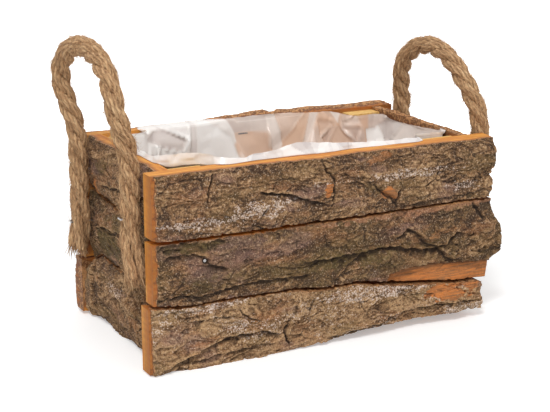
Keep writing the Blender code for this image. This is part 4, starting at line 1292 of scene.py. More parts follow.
SLAB_CUTS = (
    SlabCut(
        "front_slab_bottom", Wall.FRONT, 0, 11, -154, 143,
        (20, 0, 0, 0, 15, 50, 95, 145, 150, 145, 155),
        (1030, 985, 985, 980, 970, 900, 900, 790, 720, 640, 600),
        end_lip=((0, 0), (0.3, 1), (0.6, -0.5), (1, 0.4)),
        tone=0.06, lichen=0.7, bare_start=2, rim_bark=4, features=FRONT_BOTTOM_FEATURES),
    SlabCut(
        "front_slab_middle", Wall.FRONT, 1, 12, -150, 150,
        (60, 10, 10, 10, -5, -70, -75, -185, -250, -330, -370),
        (985, 975, 970, 965, 970, 960, 970, 975, 975, 985, 985),
        end_lip=((0, 0), (0.14, 1.5), (0.24, 0.5), (0.34, 12.5), (0.55, 10), (0.68, 8.5), (0.78, 4),
                 (0.9, 2), (1, 0.5)),
        tone=-0.07, moss=0.35, bare_start=3.2, rim_bark=4, rim_rough_from=-24,
        features=FRONT_MIDDLE_FEATURES),
    SlabCut(
        "front_slab_top", Wall.FRONT, 2, 13, -150, 150,
        (40, 10, 5, 0, 5, 0, 10, 5, 0, 10, 10),
        PLAIN_HIGH,
        end_lip=((0, -3.2), (0.12, 1.2), (0.28, 0.8), (0.38, -3.2), (0.52, 3.6), (0.75, 2.8), (0.93, 0),
                 (1, 0)),
        crest=((-150, -0.4), (-118, 0), (-100, -0.2), (-60, 0.2), (-35, -0.6), (-5, -1.1), (20, -0.4),
               (60, -0.7), (95, -0.3), (125, -0.6), (150, -0.8)),
        tone=-0.02, lichen=0.05, bare_start=3, features=FRONT_TOP_FEATURES),
    SlabCut(
        "back_slab_bottom", Wall.BACK, 0, 21, -150, 146,
        (60, 20, 0, 0, 40, 30, 10, 0, 0, 50, 50),
        (960, 980, 1020, 1010, 970, 930, 950, 990, 1000, 960, 940),
        tone=0.04, lichen=0.45, rim_bark=4, end_bark=0.8, inner_bark=5),
    SlabCut(
        "back_slab_middle", Wall.BACK, 1, 22, -147, 150,
        (-20, 0, 40, 30, -10, -50, -30, 10, 20, -20, -40),
        (990, 970, 960, 990, 1020, 1010, 980, 960, 970, 1000, 990),
        tone=-0.03, lichen=0.15, moss=0.3, inner_bark=3),
    SlabCut(
        "back_slab_top", Wall.BACK, 2, 23, -150, 150,
        (10, -10, -20, 10, 40, 30, 0, -20, -10, 20, 10),
        PLAIN_HIGH,
        crest=((-150, -0.8), (-60, -0.8), (-30, 0), (-12, 1.3), (4, 1.9), (14, 3), (28, 3.3), (33, 0.8),
               (38, 0.9), (41, 2.6), (53, 1.9), (60, 2.4), (73, 2), (93, 1.2), (121, 1.1), (137, 1.8),
               (146, 1.5), (150, 0)),
        tone=0.02, lichen=0.2, rim_bark=4.5, rim_rough=1.5, rim_rough_from=-22, inner_bark=2.6),
    SlabCut(
        "left_end_slab_bottom", Wall.LEFT, 0, 31, -69.7, 69.7,
        (80, 60, 20, 0, 0, 10, 30),
        (900, 960, 1050, 1080, 1080, 1130, 900),
        lichen=0.15, moss=0.1, rim_bark=4, features=LEFT_BOTTOM_FEATURES),
    SlabCut(
        "left_end_slab_middle", Wall.LEFT, 1, 32, -69.7, 69.7,
        (-70, -10, 80, 110, 110, 160, -70),
        (1080, 1060, 1040, 1050, 1080, 1110, 1110),
        tone=-0.06, moss=0.6, rim_bark=4, features=LEFT_MIDDLE_FEATURES),
    SlabCut(
        "left_end_slab_top", Wall.LEFT, 2, 33, -69.7, 69.7,
        (110, 90, 70, 80, 110, 140, 140),
        (990, 1000, 1000, 1000, 1000, 1000, 1000),
        tone=-0.02, moss=0.2, features=LEFT_TOP_FEATURES),
    SlabCut(
        "right_end_slab_bottom", Wall.RIGHT, 0, 41, -69.7, 69.7,
        (30, 10, 30, 40, 0, 0, 20),
        (980, 1000, 960, 930, 960, 1010, 1030),
        tone=0.05, lichen=0.3),
    SlabCut(
        "right_end_slab_middle", Wall.RIGHT, 1, 42, -69.7, 69.7,
        (10, 30, -10, -40, -10, 40, 60),
        (960, 990, 1020, 1010, 970, 950, 970),
        tone=-0.04, moss=0.25),
    SlabCut(
        "right_end_slab_top", Wall.RIGHT, 2, 43, -69.7, 69.7,
        (-10, 20, 50, 40, 0, -20, 0),
        (990, 1000, 1000, 1000, 1000, 1000, 990),
        lichen=0.15, rim_bark=5, rim_rough=1.6),
)


# Rope handles

@dataclass(frozen=True)
class HandleCut:
    """One handle's rope: its legs, arch, lean and tails, as the CAD solids have them. In mm."""

    side: str
    sign: int
    half_span: float
    spread: float
    arch_start: float
    arch_rise: float
    lean: float
    tail_lengths: tuple[float, float]
    tail_drift: float
    seed: int


HANDLE_CUTS = (
    HandleCut("left", -1, 55.0, 3.0, 45.0, 37.0, 11.7, (87.0, 93.0), 6.0, 51),
    HandleCut("right", 1, 60.0, 0.0, 1.0, 60.0, -10.5, (89.0, 85.0), 0.0, 52),
)


@dataclass
class RopeHandle:
    """One rope of three laid strands, with its cut ends opening into yarns, and its loose fibres."""

    cut: HandleCut
    sizes: BoxSizes
    rope_radius: float = 8.0
    strand_radius: float = 4.3
    lay: float = 54.0
    open_lay: float = 190.0
    opening: float = 62.0
    flare: float = 0.30
    yarns: int = 7
    yarn_depth: float = 0.24
    flex_above_rim: float = 2.0
    lean_rise: float = 55.0
    step: float = 0.95
    sides: int = 40
    fibres: int = 4000
    tuft_yarns: int = 26
    tuft_depth: float = 5.0
    ease_steps: int = 12

    def line(self) -> Array:
        """The rope's middle from the front cut end, over the arch, to the back cut end, in mm.

        The tails are straight, drifting outward at their ends by the square of the way down. The
        arch is half an ellipse, and the loop leans by a smooth step of height.
        """
        cut, rim = self.cut, self.sizes.rim / MM
        flex = rim + self.flex_above_rim
        low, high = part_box(f"{cut.side}_handle_tail_front")
        axis = (low[0] + high[0]) / 2 / MM
        tails = []
        for sign, length in zip((-1, 1), cut.tail_lengths):
            share = np.linspace(1, 0, 60)
            across = sign * (cut.half_span + cut.tail_drift * np.clip(2 * share - 1, 0, 1) ** 2)
            tails.append(np.stack([across, flex - share * length], -1))
        turn = np.linspace(0, math.pi, 160)
        wide = cut.half_span + cut.spread
        leg = np.linspace(0, cut.arch_start, 40)[1:-1]
        leg_across = cut.half_span + cut.spread * smooth_step(leg / cut.arch_start)
        arch = np.stack([-wide * np.cos(turn), flex + cut.arch_start + cut.arch_rise * np.sin(turn)], -1)
        front_leg = np.stack([-leg_across, flex + leg], -1)
        back_leg = np.stack([leg_across, flex + leg], -1)[::-1]
        flat = np.concatenate([tails[0], front_leg, arch, back_leg, tails[1][::-1]])
        out = cut.lean * smooth_step((flat[:, 1] - flex) / self.lean_rise)
        points = np.stack([axis + cut.sign * out, flat[:, 0], flat[:, 1]], -1)
        length = np.linalg.norm(np.diff(points, axis=0), axis=1).sum()
        even = walked_evenly(points, int(length / self.step))
        weights = np.exp(-0.5 * (np.arange(-self.ease_steps, self.ease_steps + 1) / 5.0) ** 2)
        edge = ((self.ease_steps, self.ease_steps), (0, 0))
        padded = np.pad(even, edge, mode="reflect", reflect_type="odd")
        return sum(weight * padded[start:start + len(even)]
                   for start, weight in enumerate(weights / weights.sum()))

    @staticmethod
    def frames(line: Array, toward: Array) -> tuple[Array, Array, Array]:
        """Ahead, outward and across directions of a line, with outward nearest to a given one."""
        ahead = unit(np.gradient(line, axis=0))
        out = unit(toward - np.sum(toward * ahead, -1, keepdims=True) * ahead)
        return ahead, out, np.cross(ahead, out)

    def strands(self, line: Array, noise: Noise) -> tuple[list[Array], Array, Array]:
        """Middles of the three strands: left-hand helices that open towards both cut ends.

        Returns:
            The three lines, the distance walked, and how open the rope is at each point.
        """
        walked = np.arange(len(line)) * self.step
        from_end = np.minimum(walked, walked[-1] - walked)
        opened = smooth_step(1 - from_end / self.opening)
        pace = 2 * math.pi / (self.lay + (self.open_lay - self.lay) * opened)
        phase = -np.cumsum(pace) * self.step
        _, out, across = self.frames(line, np.array([[1.0, 0, 0]]))
        reach = (self.rope_radius - self.strand_radius) * (1 + self.flare * opened ** 2)
        made = []
        for number in range(3):
            angle = (phase + 2 * math.pi * number / 3)[:, None]
            wander = 0.35 * noise.at(walked / 21 + 30 * number, walked * 0 + number)[:, None]
            radial = np.cos(angle) * out + np.sin(angle) * across
            made.append(line + (reach[:, None] + wander) * radial)
        return made, walked, opened

    def strand_surface(self, strand: Array, line: Array, walked: Array, opened: Array, number: int,
                       noise: Noise) -> Surface:
        """One strand: a tube whose yarns run nearly along the rope, rounded off at both ends."""
        _, out, across = self.frames(strand, strand - line)
        angle = np.linspace(0, 2 * math.pi, self.sides, endpoint=False)[None]
        slope = 0.92 * 2 * math.pi * self.rope_radius / self.lay / self.strand_radius
        drift = angle - np.cumsum(slope * (1 - 0.8 * opened))[:, None] * self.step
        rough = noise.layers(walked[:, None] / 5 + 50 * number, drift * 2.5, 3, 0.8)
        drift = drift + 0.42 * noise.at(walked[:, None] / 7 + 70 * number, angle * 0)
        yarn = np.abs(np.cos(self.yarns / 2 * drift)) ** 0.8
        from_end = np.minimum(walked, walked[-1] - walked)[:, None]
        ends = np.sqrt(np.clip(from_end / 3.0, 0.02, 1))
        uneven = 1 - self.yarn_depth * (1 - yarn) + 0.055 * rough + 0.05 * opened[:, None]
        radius = self.strand_radius * ends * uneven
        points = strand[:, None] + radius[..., None] * (np.cos(angle)[..., None] * out[:, None]
                                                        + np.sin(angle)[..., None] * across[:, None])
        from_axis = np.linalg.norm(points - line[:, None], axis=-1)
        # groove: painted shade, darker nearer the rope's middle between strands, and between yarns
        groove = (0.55 * smooth_step((self.rope_radius - 2.2 - from_axis) / 2.0)
                  + 0.75 * (1 - yarn) ** 1.5 * (0.8 + rough))
        place = np.stack([np.repeat(walked[:, None], self.sides, 1) + 500 * number,
                          self.strand_radius * drift, from_axis], -1) * MM
        index = np.arange(points.shape[0] * self.sides).reshape(-1, self.sides)
        marks = {"groove": np.clip(groove, 0, 0.92).ravel(), "place": place.reshape(-1, 3)}
        covers = [index[0][::-1].tolist(), index[-1].tolist()]
        return Surface(points.reshape(-1, 3), quads_of(index, closed=True), marks=marks, covers=covers)

    @staticmethod
    def hairs(roots: Array, ahead: Array, bend: Array, lengths: Array, thick: Array, tone: Array) -> Surface:
        """Many thin three-sided fibres.

        Each follows root + length × (t × ahead + t² × bend), and thins towards its tip.

        Args:
            roots: where each starts.
            ahead: its first direction.
            bend: how it curves.
            lengths: its length.
            thick: its radius at the root.
            tone: a number that sets its patch of colour.

        Returns:
            The fibres as one surface.
        """
        rows, sides = 3, 3
        share = np.linspace(0, 1, rows)[None, :, None]
        line = roots[:, None] + lengths[:, None, None] * (share * ahead[:, None] + share ** 2 * bend[:, None])
        along = unit(ahead[:, None] + 2 * share * bend[:, None])
        side = unit(np.cross(along, np.array([0.31, 0.52, 0.79])))
        other = np.cross(along, side)
        angle = 2 * math.pi * np.arange(sides) / sides
        radius = thick[:, None, None, None] * (1 - 0.75 * share[..., None])
        points = line[:, :, None] + radius * (np.cos(angle)[None, None, :, None] * side[:, :, None]
                                              + np.sin(angle)[None, None, :, None] * other[:, :, None])
        count = len(roots)
        index = np.arange(count * rows * sides).reshape(count, rows, sides)
        ring = np.concatenate([index, index[:, :, :1]], 2)
        quads = np.stack([ring[:, :-1, :-1], ring[:, :-1, 1:], ring[:, 1:, 1:], ring[:, 1:, :-1]], -1)
        covers = index[:, 0, ::-1].tolist() + index[:, -1].tolist()
        seat = tone[:, None, None] + np.zeros(index.shape)
        place = np.stack([lengths[:, None, None] * share + 400 * seat, 90 * seat, 55 * seat], -1) * MM
        marks = {"groove": np.zeros(points.size // 3), "place": place.reshape(-1, 3)}
        return Surface(points.reshape(-1, 3), quads.reshape(-1, 4), marks=marks, covers=covers)

    def fuzz(self, strands: list[Surface], walked: Array) -> Surface:
        """Loose fibres that leave the strands' outer sides, mostly along the rope."""
        draws = np.random.RandomState(self.cut.seed + 7)
        rows = draws.randint(4, len(walked) - 4, self.fibres)
        columns = draws.randint(-self.sides // 4, self.sides // 4 + 1, self.fibres) % self.sides
        number = draws.randint(0, 3, self.fibres)
        grids = np.stack([surface.points.reshape(-1, self.sides, 3) for surface in strands])
        roots = grids[number, rows, columns]
        ahead = unit(grids[number, rows + 3, columns] - grids[number, rows - 3, columns])
        outward = unit(roots - grids[number, rows].mean(1))
        sense = np.where(draws.rand(self.fibres) < 0.5, 1.0, -1.0)[:, None]
        across = np.cross(ahead, outward) * draws.normal(0, 0.35, (self.fibres, 1))
        free = (draws.rand(self.fibres, 1) < 0.50).astype(float)
        rise = draws.uniform(0.10, 0.55, (self.fibres, 1)) * free + 0.07 * (1 - free)
        first = unit(sense * ahead + rise * outward + (0.4 + 0.6 * free) * across)
        bend = (0.05 + 0.35 * free) * draws.normal(0, 1, (self.fibres, 3)) - (0.06 - 0.10 * free) * outward
        lengths = 2.5 + draws.gamma(2.0, 2.3, self.fibres)
        thick = draws.uniform(0.08, 0.16, self.fibres) + 0.08 * (1 - free[:, 0])
        return self.hairs(roots - 0.1 * outward, first, bend, lengths, thick, draws.rand(self.fibres))

    def tufts(self, strands: list[Array]) -> Surface:
        """Yarns that stick out of both cut ends of each strand."""
        draws = np.random.RandomState(self.cut.seed + 11)
        parts = [[] for _ in range(6)]
        for end, inner in ((0, 14), (-1, -15)):
            for strand in strands:
                ahead = unit(strand[end] - strand[inner])
                count = self.tuft_yarns
                spot = draws.normal(0, 1, (count, 3))
                spot = unit(spot - (spot @ ahead)[:, None] * ahead) * (3.3 * np.sqrt(draws.rand(count, 1)))
                parts[0].append(strand[end] - self.tuft_depth * ahead + spot)
                parts[1].append(unit(ahead + 0.055 * spot + 0.10 * draws.normal(0, 1, (count, 3))))
                parts[2].append(0.10 * draws.normal(0, 1, (count, 3)))
                parts[3].append(self.tuft_depth + draws.uniform(0.5, 8.5, count))
                parts[4].append(draws.uniform(0.35, 0.75, count))
                parts[5].append(draws.rand(count))
        return self.hairs(*(np.concatenate(part) for part in parts))

    def build(self, jute: Material) -> Piece:
        """Makes the handle as one piece that no CAD body carries, and hides the CAD rope pieces."""
        noise = Noise(self.cut.seed)
        line = self.line()
        lines, walked, opened = self.strands(line, noise)
        surfaces = [self.strand_surface(strand, line, walked, opened, number, noise)
                    for number, strand in enumerate(lines)]
        parts = surfaces + [self.fuzz(surfaces, walked), self.tufts(lines)]
        whole = merged(parts)
        whole.points = whole.points * MM
        side = self.cut.side
        made = whole.piece(f"{side}_rope", None, [jute])
        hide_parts(f"{side}_handle_loop", f"{side}_handle_tail_front", f"{side}_handle_tail_back")
        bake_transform(made)
        return made


def merged(parts: list[Surface]) -> Surface:
    """Several surfaces with the same marks as one."""
    starts = np.cumsum([0] + [len(part.points) for part in parts])
    covers = [[start + corner for corner in cover]
              for start, part in zip(starts, parts) for cover in part.covers]
    marks = {key: np.concatenate([part.marks[key] for part in parts]) for key in parts[0].marks}
    return Surface(np.concatenate([part.points for part in parts]),
                   np.concatenate([part.quads + start for start, part in zip(starts, parts)]),
                   marks=marks, covers=covers)


# Film liner

@dataclass(frozen=True)
class Facet:
    """A flat place of the film: its corners along and up a wall, its tone of painted shade, its backing and
    its bend in mm.
    """

    wall: Wall
    tone: float
    backed: float
    bend: float
    corners: Points


@dataclass
class DrawnFacets:
    """What the drawn facets set at each point of the film."""

    inside: Array
    # tone: the painted shade of each facet, less where it is low
    tone: Array
    backed: Array
    bend: Array


# Each facet: its tone of painted shade, its backing, its bend and its corners
BACK_FACETS = (
    (-0.2, 0.05, 0.3,((-120, 158), (-84, 158), (-90, 146), (-80, 137), (-62, 96), (-120, 90))),
    (0.6, 0.15, 1.6,((-96, 146), (-79, 154), (-55, 142), (-59, 131), (-80, 137))),
    (0.1, 0.05, 1.5,((-79, 154), (-52, 157), (-53, 143))),
    (-0.35, 0, 0.8,((-80, 137), (-59, 131), (-53, 124), (-56, 94), (-88, 96))),
    (0.42, 0.1, 1.6,((-50, 158), (-46, 158), (-42, 130), (-44, 112), (-53, 112), (-52, 132))),
    (-0.6, 0, 1.2,((-45, 159), (-18, 157), (-12, 140), (6, 128), (2, 112), (-43, 112))),
    (0.5, 0.35, 1.4,((-18, 158), (25, 159), (21, 140), (-9, 142))),
    (0.1, 0.9, 0.8,((-9, 142), (21, 141), (24, 112), (6, 112), (-8, 137))),
    (-0.35, 0.35, 1.6,((20, 159), (29, 158), (38, 128), (31, 112), (26, 128))),
    (0.35, 0.7, 1,((29, 158), (66, 158), (48, 140), (38, 128))),
    (0, 0.95, 1,((48, 140), (66, 158), (52, 112), (34, 112), (38, 128))),
    (-0.3, 0.45, 1.6,((66, 158), (75, 157), (63, 130), (52, 112))),
    (0.55, 0.85, 2,((91, 142), (75, 155), (83, 155))),
    (-0.4, 0.4, 1,((91, 142), (83, 155), (92, 156))),
    (0.7, 0.7, 2,((91, 142), (94, 156), (101, 154))),
    (-0.3, 0.7, 1,((91, 142), (103, 152), (108, 142))),
    (0.75, 0.6, 2,((91, 142), (107, 139), (103, 128))),
    (0.2, 0.95, 1,((91, 142), (100, 126), (84, 120))),
    (0.65, 0.7, 2,((91, 142), (81, 122), (76, 130))),
    (-0.1, 0.9, 1,((91, 142), (74, 132), (72, 146))),
)

RIGHT_FACETS = (
    (-0.65, 0, 1.5,((68, 121), (51, 140), (40, 127))),
    (0.35, 0.1, 1,((51, 140), (34, 149), (14, 148), (30, 128), (40, 127))),
    (-0.1, 0.2, 1,((30, 128), (14, 148), (-31, 148), (-30, 126))),
)

FILM_FACETS = (*(Facet(Wall.BACK, *drawn) for drawn in BACK_FACETS),
               *(Facet(Wall.RIGHT, *drawn) for drawn in RIGHT_FACETS))


@dataclass
class FilmLiner:
    """A film tray, welded from a cross-shaped cut, pushed into the box round the four posts. In mm.

    Its edge stands as a flap over the front rim, and its height is drawn as places along a wall, each
    with a rise over the rim.
    """

    sizes: BoxSizes
    flat: tuple[float, float] = (0.53, 0.42)
    flat_area: float = 0.145
    post_length: float = 30.0
    post_width: float = 14.0
    gap: float = 0.6
    floor: float = 13.9
    columns: int = 780
    flap_rows: int = 12
    ledge_rows: int = 6
    wall_rows: int = 72
    floor_rows: int = 20
    corner_radius: float = 9.0
    ledge_reach: float = 7.0
    rim_width: float = 15.6
    post_reach: float = 1.4
    side_reach: float = 6.0
    back_reach: Points = ((-120, 4.0), (-108, 11.0), (-92, 13.5), (-48, 13.0), (-30, 9.0), (-14, 1.0),
                          (0, 0.0))
    front_flap: Points = ((-112, 7.5), (-104, 7.0), (-93, 6.0), (-80, 4.5), (-69, 3.0), (-58, 4.4),
                          (-43, 5.8), (-22, 9.4), (-5, 7.6), (6, 6.4), (22, 5.0), (39, 3.6), (65, 2.8),
                          (81, 3.0), (95, 0.8))
    back_flap: Points = ((-112, 1.0), (-92, 1.8), (-81, 3.6), (-58, 4.4), (-32, 3.4), (-17, 2.2),
                         (27, 2.9), (50, 1.2), (64, 0.3), (86, -0.6), (104, -3.5))
    left_flap: Points = ((-60, 8.0), (-40, 4.0), (0, 2.5), (40, 1.5), (60, 1.5))
    right_flap: Points = ((-60, 0.5), (-45, -0.5), (-35, -2.0), (5, -4.5), (20, -5.0), (38, -2.5),
                          (60, -3.5))
    fold_pitch: float = 44.0
    fold_slope: float = 0.0048
    crease_pitch: float = 19.0
    crease_slope: float = 0.0085
    crumple_pitch: float = 9.0
    crumple_slope: float = 0.016
    most_away: float = 9.0
    staple_height: float = 141.0
    corner_ease: float = 2.4
    side_ease: float = 0.25
    most_fine: float = 4.5
    most_lift: float = 9.0
    ragged_rise: float = 0.35
    seed: int = 71

    def outline(self) -> Array:
        """The film's line seen from above, inside the posts, walked evenly and eased at its corners."""
        x, y = self.sizes.inner_x / MM - self.gap, self.sizes.inner_y / MM - self.gap
        post_x = self.sizes.inner_x / MM - self.post_length - 2.2
        post_y = self.sizes.inner_y / MM - self.post_width - 2.2
        quarter = [(x, 0), (x, post_y - 9), (x - 5, post_y), (post_x, post_y), (post_x - 3, post_y + 5),
                   (post_x - 12, y)]
        half = quarter + [(-px, py) for px, py in quarter[::-1]]
        loop = np.array(half + [(-px, -py) for px, py in half] + [quarter[0]], float)
        even = walked_evenly(loop, self.columns, closed=True)
        waves = np.fft.fftfreq(self.columns)[:, None]
        eased = np.exp(-2 * (math.pi * self.corner_ease * waves) ** 2)
        return np.real(np.fft.ifft(np.fft.fft(even, axis=0) * eased, axis=0))

    @staticmethod
    def folds(points: Array, pitch: float, slope: float, seed: int) -> tuple[Array, Array]:
        """Flat facets with straight creases, and a tone of painted shade of its own from -1 to 1 for each
        facet.

        A facet is the difference of the squared distances to the nearest of two sets of seeded
        seats, which is a plane between creases.
        """
        draws = np.random.RandomState(seed)
        low, high = points.reshape(-1, 3).min(0), points.reshape(-1, 3).max(0)
        count = int(2.2 * (np.prod((high - low)[:2] + 2 * pitch) / pitch ** 2 + 6))
        seats = draws.uniform(low - pitch, high + pitch, (2, count, 3))
        nearest, tones = [], np.zeros(points.shape[:-1])
        for group in seats:
            best, tone = np.full(points.shape[:-1], np.inf), np.zeros(points.shape[:-1])
            for seat, own in zip(group, draws.uniform(-0.5, 0.5, count)):
                away = np.sum((points - seat) ** 2, -1)
                tone = np.where(away < best, own, tone)
                best = np.minimum(best, away)
            nearest.append(best)
            tones = tones + tone
        return slope * (nearest[0] - nearest[1]), tones

    def flap(self, outline: Array) -> tuple[Array, Array, Array]:
        """How high the film's edge stands over the rim, and how far it lies out over the front rim.

        Each wall's drawn line counts by how near the place is to that wall.

        Returns:
            The rise, the reach over the rim or over a post's top, and how near a post stands.
        """
        x, y = outline.T
        middle_y, middle_x = self.sizes.inner_y / MM - 8, self.sizes.inner_x / MM - 8
        shares = [smooth_step((-y - middle_y + 24) / 18), smooth_step((y - middle_y + 24) / 18),
                  smooth_step((-x - middle_x + 10) / 12), smooth_step((x - middle_x + 10) / 12)]
        lines = [(self.front_flap, x), (self.back_flap, x), (self.left_flap, y), (self.right_flap, y)]
        rise = sum(share * along_line(line, place) for share, (line, place) in zip(shares, lines))
        total = sum(shares)
        at_post = smooth_step((np.abs(x) - self.sizes.inner_x / MM + self.post_length + 13) / 8)
        at_post = at_post * smooth_step((np.abs(y) - self.sizes.inner_y / MM + self.post_width + 8) / 5)
        front = self.ledge_reach * (1 - at_post) + self.post_reach * at_post * (x < 0)
        over = shares[0] * front + shares[1] * (1 - at_post) * along_line(self.back_reach, x)
        over = over + shares[2] * self.side_reach * smooth_step((30 - y) / 30)
        seen_rise = np.interp(over, (0, 14), (0, 3.8)) * (y > 0)
        return rise / total - seen_rise, over / total, at_post

    def rows(self, outline: Array, rise: Array, over: Array, at_post: Array) -> tuple[Array, Array]:
        """Heights and outward shifts of every row: the flap, the ledge over the rim, and the wall."""
        rim = self.sizes.rim / MM
        crests = {cut.name: along_line(cut.crest, outline[:, 0]) for cut in SLAB_CUTS}
        crest = np.where(outline[:, 1] < 0, crests["front_slab_top"], crests["back_slab_top"])
        fall = crest * (np.abs(outline[:, 1]) > 60) * over / self.rim_width
        level = rim + 0.35 + fall - 3.0 * at_post + 0.6 * (outline[:, 1] > 0)
        rise = np.maximum(rise, np.where(over > 0.5, level - rim + 0.6, rise))
        foot = np.where(over > 0.5, level, rim + np.minimum(rise - 1.5, -1.5))
        neck = np.minimum(rim - 0.3, foot - 0.8)
        curl = np.where(outline[:, 1] > 0, 1.0, 0.55)
        share = np.linspace(0, 1, self.flap_rows)[:, None]
        flap_up = (rim + rise) * (1 - share) + foot * share
        flap_out = over * (curl + (1 - curl) * share)
        share = np.linspace(0, 1, self.ledge_rows + 1)[1:, None]
        ledge_up = foot + (neck - foot) * smooth_step((share - 0.75) / 0.25)
        ledge_out = over * (1 - share)
        share = np.linspace(0, 1, self.wall_rows + 1)[1:, None]
        wall_up = neck * (1 - share) + self.floor * share
        return (np.concatenate([flap_up, ledge_up, wall_up]),
                np.concatenate([flap_out, ledge_out, np.zeros(wall_up.shape)]))

    def build(self, film: Material) -> Piece:
        """Makes the sheet: the flap, walls rounded into a floor, and a floor that closes at its middle."""
        outline = self.outline()
        ahead = unit(np.roll(outline, -1, 0) - np.roll(outline, 1, 0))
        inward = np.stack([-ahead[:, 1], ahead[:, 0]], -1)
        rise, over, at_post = self.flap(outline)
        ragged = Noise(self.seed).layers(np.arange(self.columns) / 9.0, np.zeros(self.columns), 2)
        up, out = self.rows(outline, rise + self.ragged_rise * ragged, over, at_post)
        wall = np.concatenate([np.broadcast_to(outline, up.shape + (2,)), up[..., None]], -1)
        drawn = self.drawn_facets(wall)
        away, tone = self.creased(wall, drawn)
        sides = self.rounded(wall, away - out, inward)
        base, base_tone = self.base(sides[-1])
        grid = np.concatenate([sides, base])
        middle = np.array([[0, 0, base[-1, :, 2].mean()]])
        points = np.concatenate([grid.reshape(-1, 3), middle]) * MM + np.array([self.sizes.middle_x, 0, 0])
        index = np.arange(grid.shape[0] * self.columns).reshape(-1, self.columns)
        fan = [[int(b), int(a), len(points) - 1] for a, b in zip(index[-1], np.roll(index[-1], -1))]
        # The painted shade of the folds on the walls and floor
        tone = np.append(np.concatenate([tone, base_tone]).ravel(), 0.0)
        backed = self.backed(wall, away) * (1 - drawn.inside) + drawn.backed
        backed = np.concatenate([backed.ravel(), np.zeros(base_tone.size + 1)])
        surface = Surface(points, quads_of(index, closed=True)[:, ::-1],
                          marks={"backed": backed, "fold_shade": tone}, covers=fan)
        made = surface.piece("film_liner", "basket", [film])
        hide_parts("liner")
        return made

    def creased(self, wall: Array, drawn: "DrawnFacets") -> tuple[Array, Array]:
        """How far the film stands off each place of the walls, and the painted shade of its facets."""
        up, rim = wall[..., 2], self.sizes.rim / MM
        main, main_tone = self.folds(wall, self.fold_pitch, self.fold_slope, self.seed + 1)
        fine, fine_tone = self.folds(wall, self.crease_pitch, self.crease_slope, self.seed + 2)
        crumple, crumple_tone = self.folds(wall, self.crumple_pitch, self.crumple_slope, self.seed + 4)
        away = np.clip(main - np.percentile(main, 18), 0.06 * main, self.most_away)
        away = away + np.clip(fine - np.percentile(fine, 30), -0.2, self.most_fine)
        away = np.clip(away, 0, None) * (0.2 + 0.8 * np.clip((self.staple_distance(wall) - 4) / 22, 0, 1))
        away = away * smooth_step((up - self.floor) / 26 + self.side_ease)
        above = smooth_step((up - rim + 3) / 4)
        loose = above * smooth_step((up - rim - 0.6) / 3.0)
        away = away * (1 - 0.70 * np.clip((up - rim + 14) / 14, 0, 1))
        away = away + 0.9 * loose * np.clip(crumple, -1.2, 1.8)
        away = away * (1 - 0.6 * drawn.inside) + drawn.bend
        # Painted shade from the folds' and crumples' facets
        tone = 0.55 * main_tone + 0.45 * fine_tone + 0.6 * above * crumple_tone
        return away, tone * (1 - 0.7 * drawn.inside) + drawn.tone

    def rounded(self, wall: Array, shift: Array, inward: Array) -> Array:
        """The walls moved inward by a shift, and rounded towards the floor."""
        rounding = np.clip(1 - (wall[..., 2] - self.floor) / self.corner_radius, 0, 1)
        sides = wall.copy()
        sides[..., :2] = sides[..., :2] + shift[..., None] * inward
        round_in = self.corner_radius * (1 - np.sqrt(1 - rounding ** 2))
        sides[..., :2] = sides[..., :2] + round_in[..., None] * inward
        return sides

    def base(self, foot: Array) -> tuple[Array, Array]:
        """Rings of the floor inside the walls' foot, lifted by folds, and their tone of painted shade."""
        rings = np.linspace(1, 0, self.floor_rows + 1)[1:-1, None, None]
        flat = foot[None, :, :2] * rings
        base = np.concatenate([flat, np.full(flat.shape[:2] + (1,), self.floor + 0.5)], -1)
        lift, tone = self.folds(base, self.fold_pitch, self.fold_slope, self.seed + 3)
        lift = np.clip(lift - np.percentile(lift, 20), 0, self.most_lift)
        base[..., 2] = base[..., 2] + lift * smooth_step((1 - rings[..., 0]) / 0.25) * 0.6
        return base, tone

    @staticmethod
    def backed(wall: Array, away: Array) -> Array:
        """How much of the wood behind shows: most on the back wall right of the middle."""
        close = 1 - smooth_step((away - 0.6) / 5.0)
        slant = wall[..., 0] + 22 - 0.9 * (wall[..., 2] - 120)
        beige = np.clip(slant / 3, 0, 1) * np.clip((116 - wall[..., 0]) / 3, 0, 1) * (wall[..., 1] > 30)
        side = 0.25 * (wall[..., 0] > 110)
        plain = 0.14 * (wall[..., 1] > -40)
        return np.clip(close * (plain + 0.5 * beige) + 0.55 * beige + side, 0, 1)

    @staticmethod
    def drawn_facets(wall: Array) -> "DrawnFacets":
        """The facets that the photograph shows, laid on the film's walls, with their painted shade."""
        drawn = DrawnFacets(*(np.zeros(wall.shape[:-1]) for _ in range(4)))
        for facet in FILM_FACETS:
            along = wall[..., 0] if facet.wall.is_long else wall[..., 1]
            beside = wall[..., 1] > 50 if facet.wall.is_long else wall[..., 0] > 112
            corners = np.array(facet.corners, float)
            following = np.roll(corners, -1, 0)
            turn = np.sign(np.sum(corners[:, 0] * following[:, 1] - corners[:, 1] * following[:, 0]))
            depth = np.full(along.shape, np.inf)
            for corner, edge in zip(corners, unit(following - corners)):
                signed = edge[0] * (wall[..., 2] - corner[1]) - edge[1] * (along - corner[0])
                depth = np.minimum(depth, turn * signed)
            inside = smooth_step(depth / 2.0 + 0.5) * beside
            drawn.inside = np.maximum(drawn.inside, inside)
            tone = facet.tone * (1.0 - 0.6 * np.clip(depth / 11.0, 0, 1))
            drawn.tone = drawn.tone * (1 - inside) + tone * inside
            drawn.backed = drawn.backed * (1 - inside) + facet.backed * inside
            drawn.bend = drawn.bend + 0.6 * facet.bend * np.clip(depth / 12.0, 0, 1) * beside
        return drawn

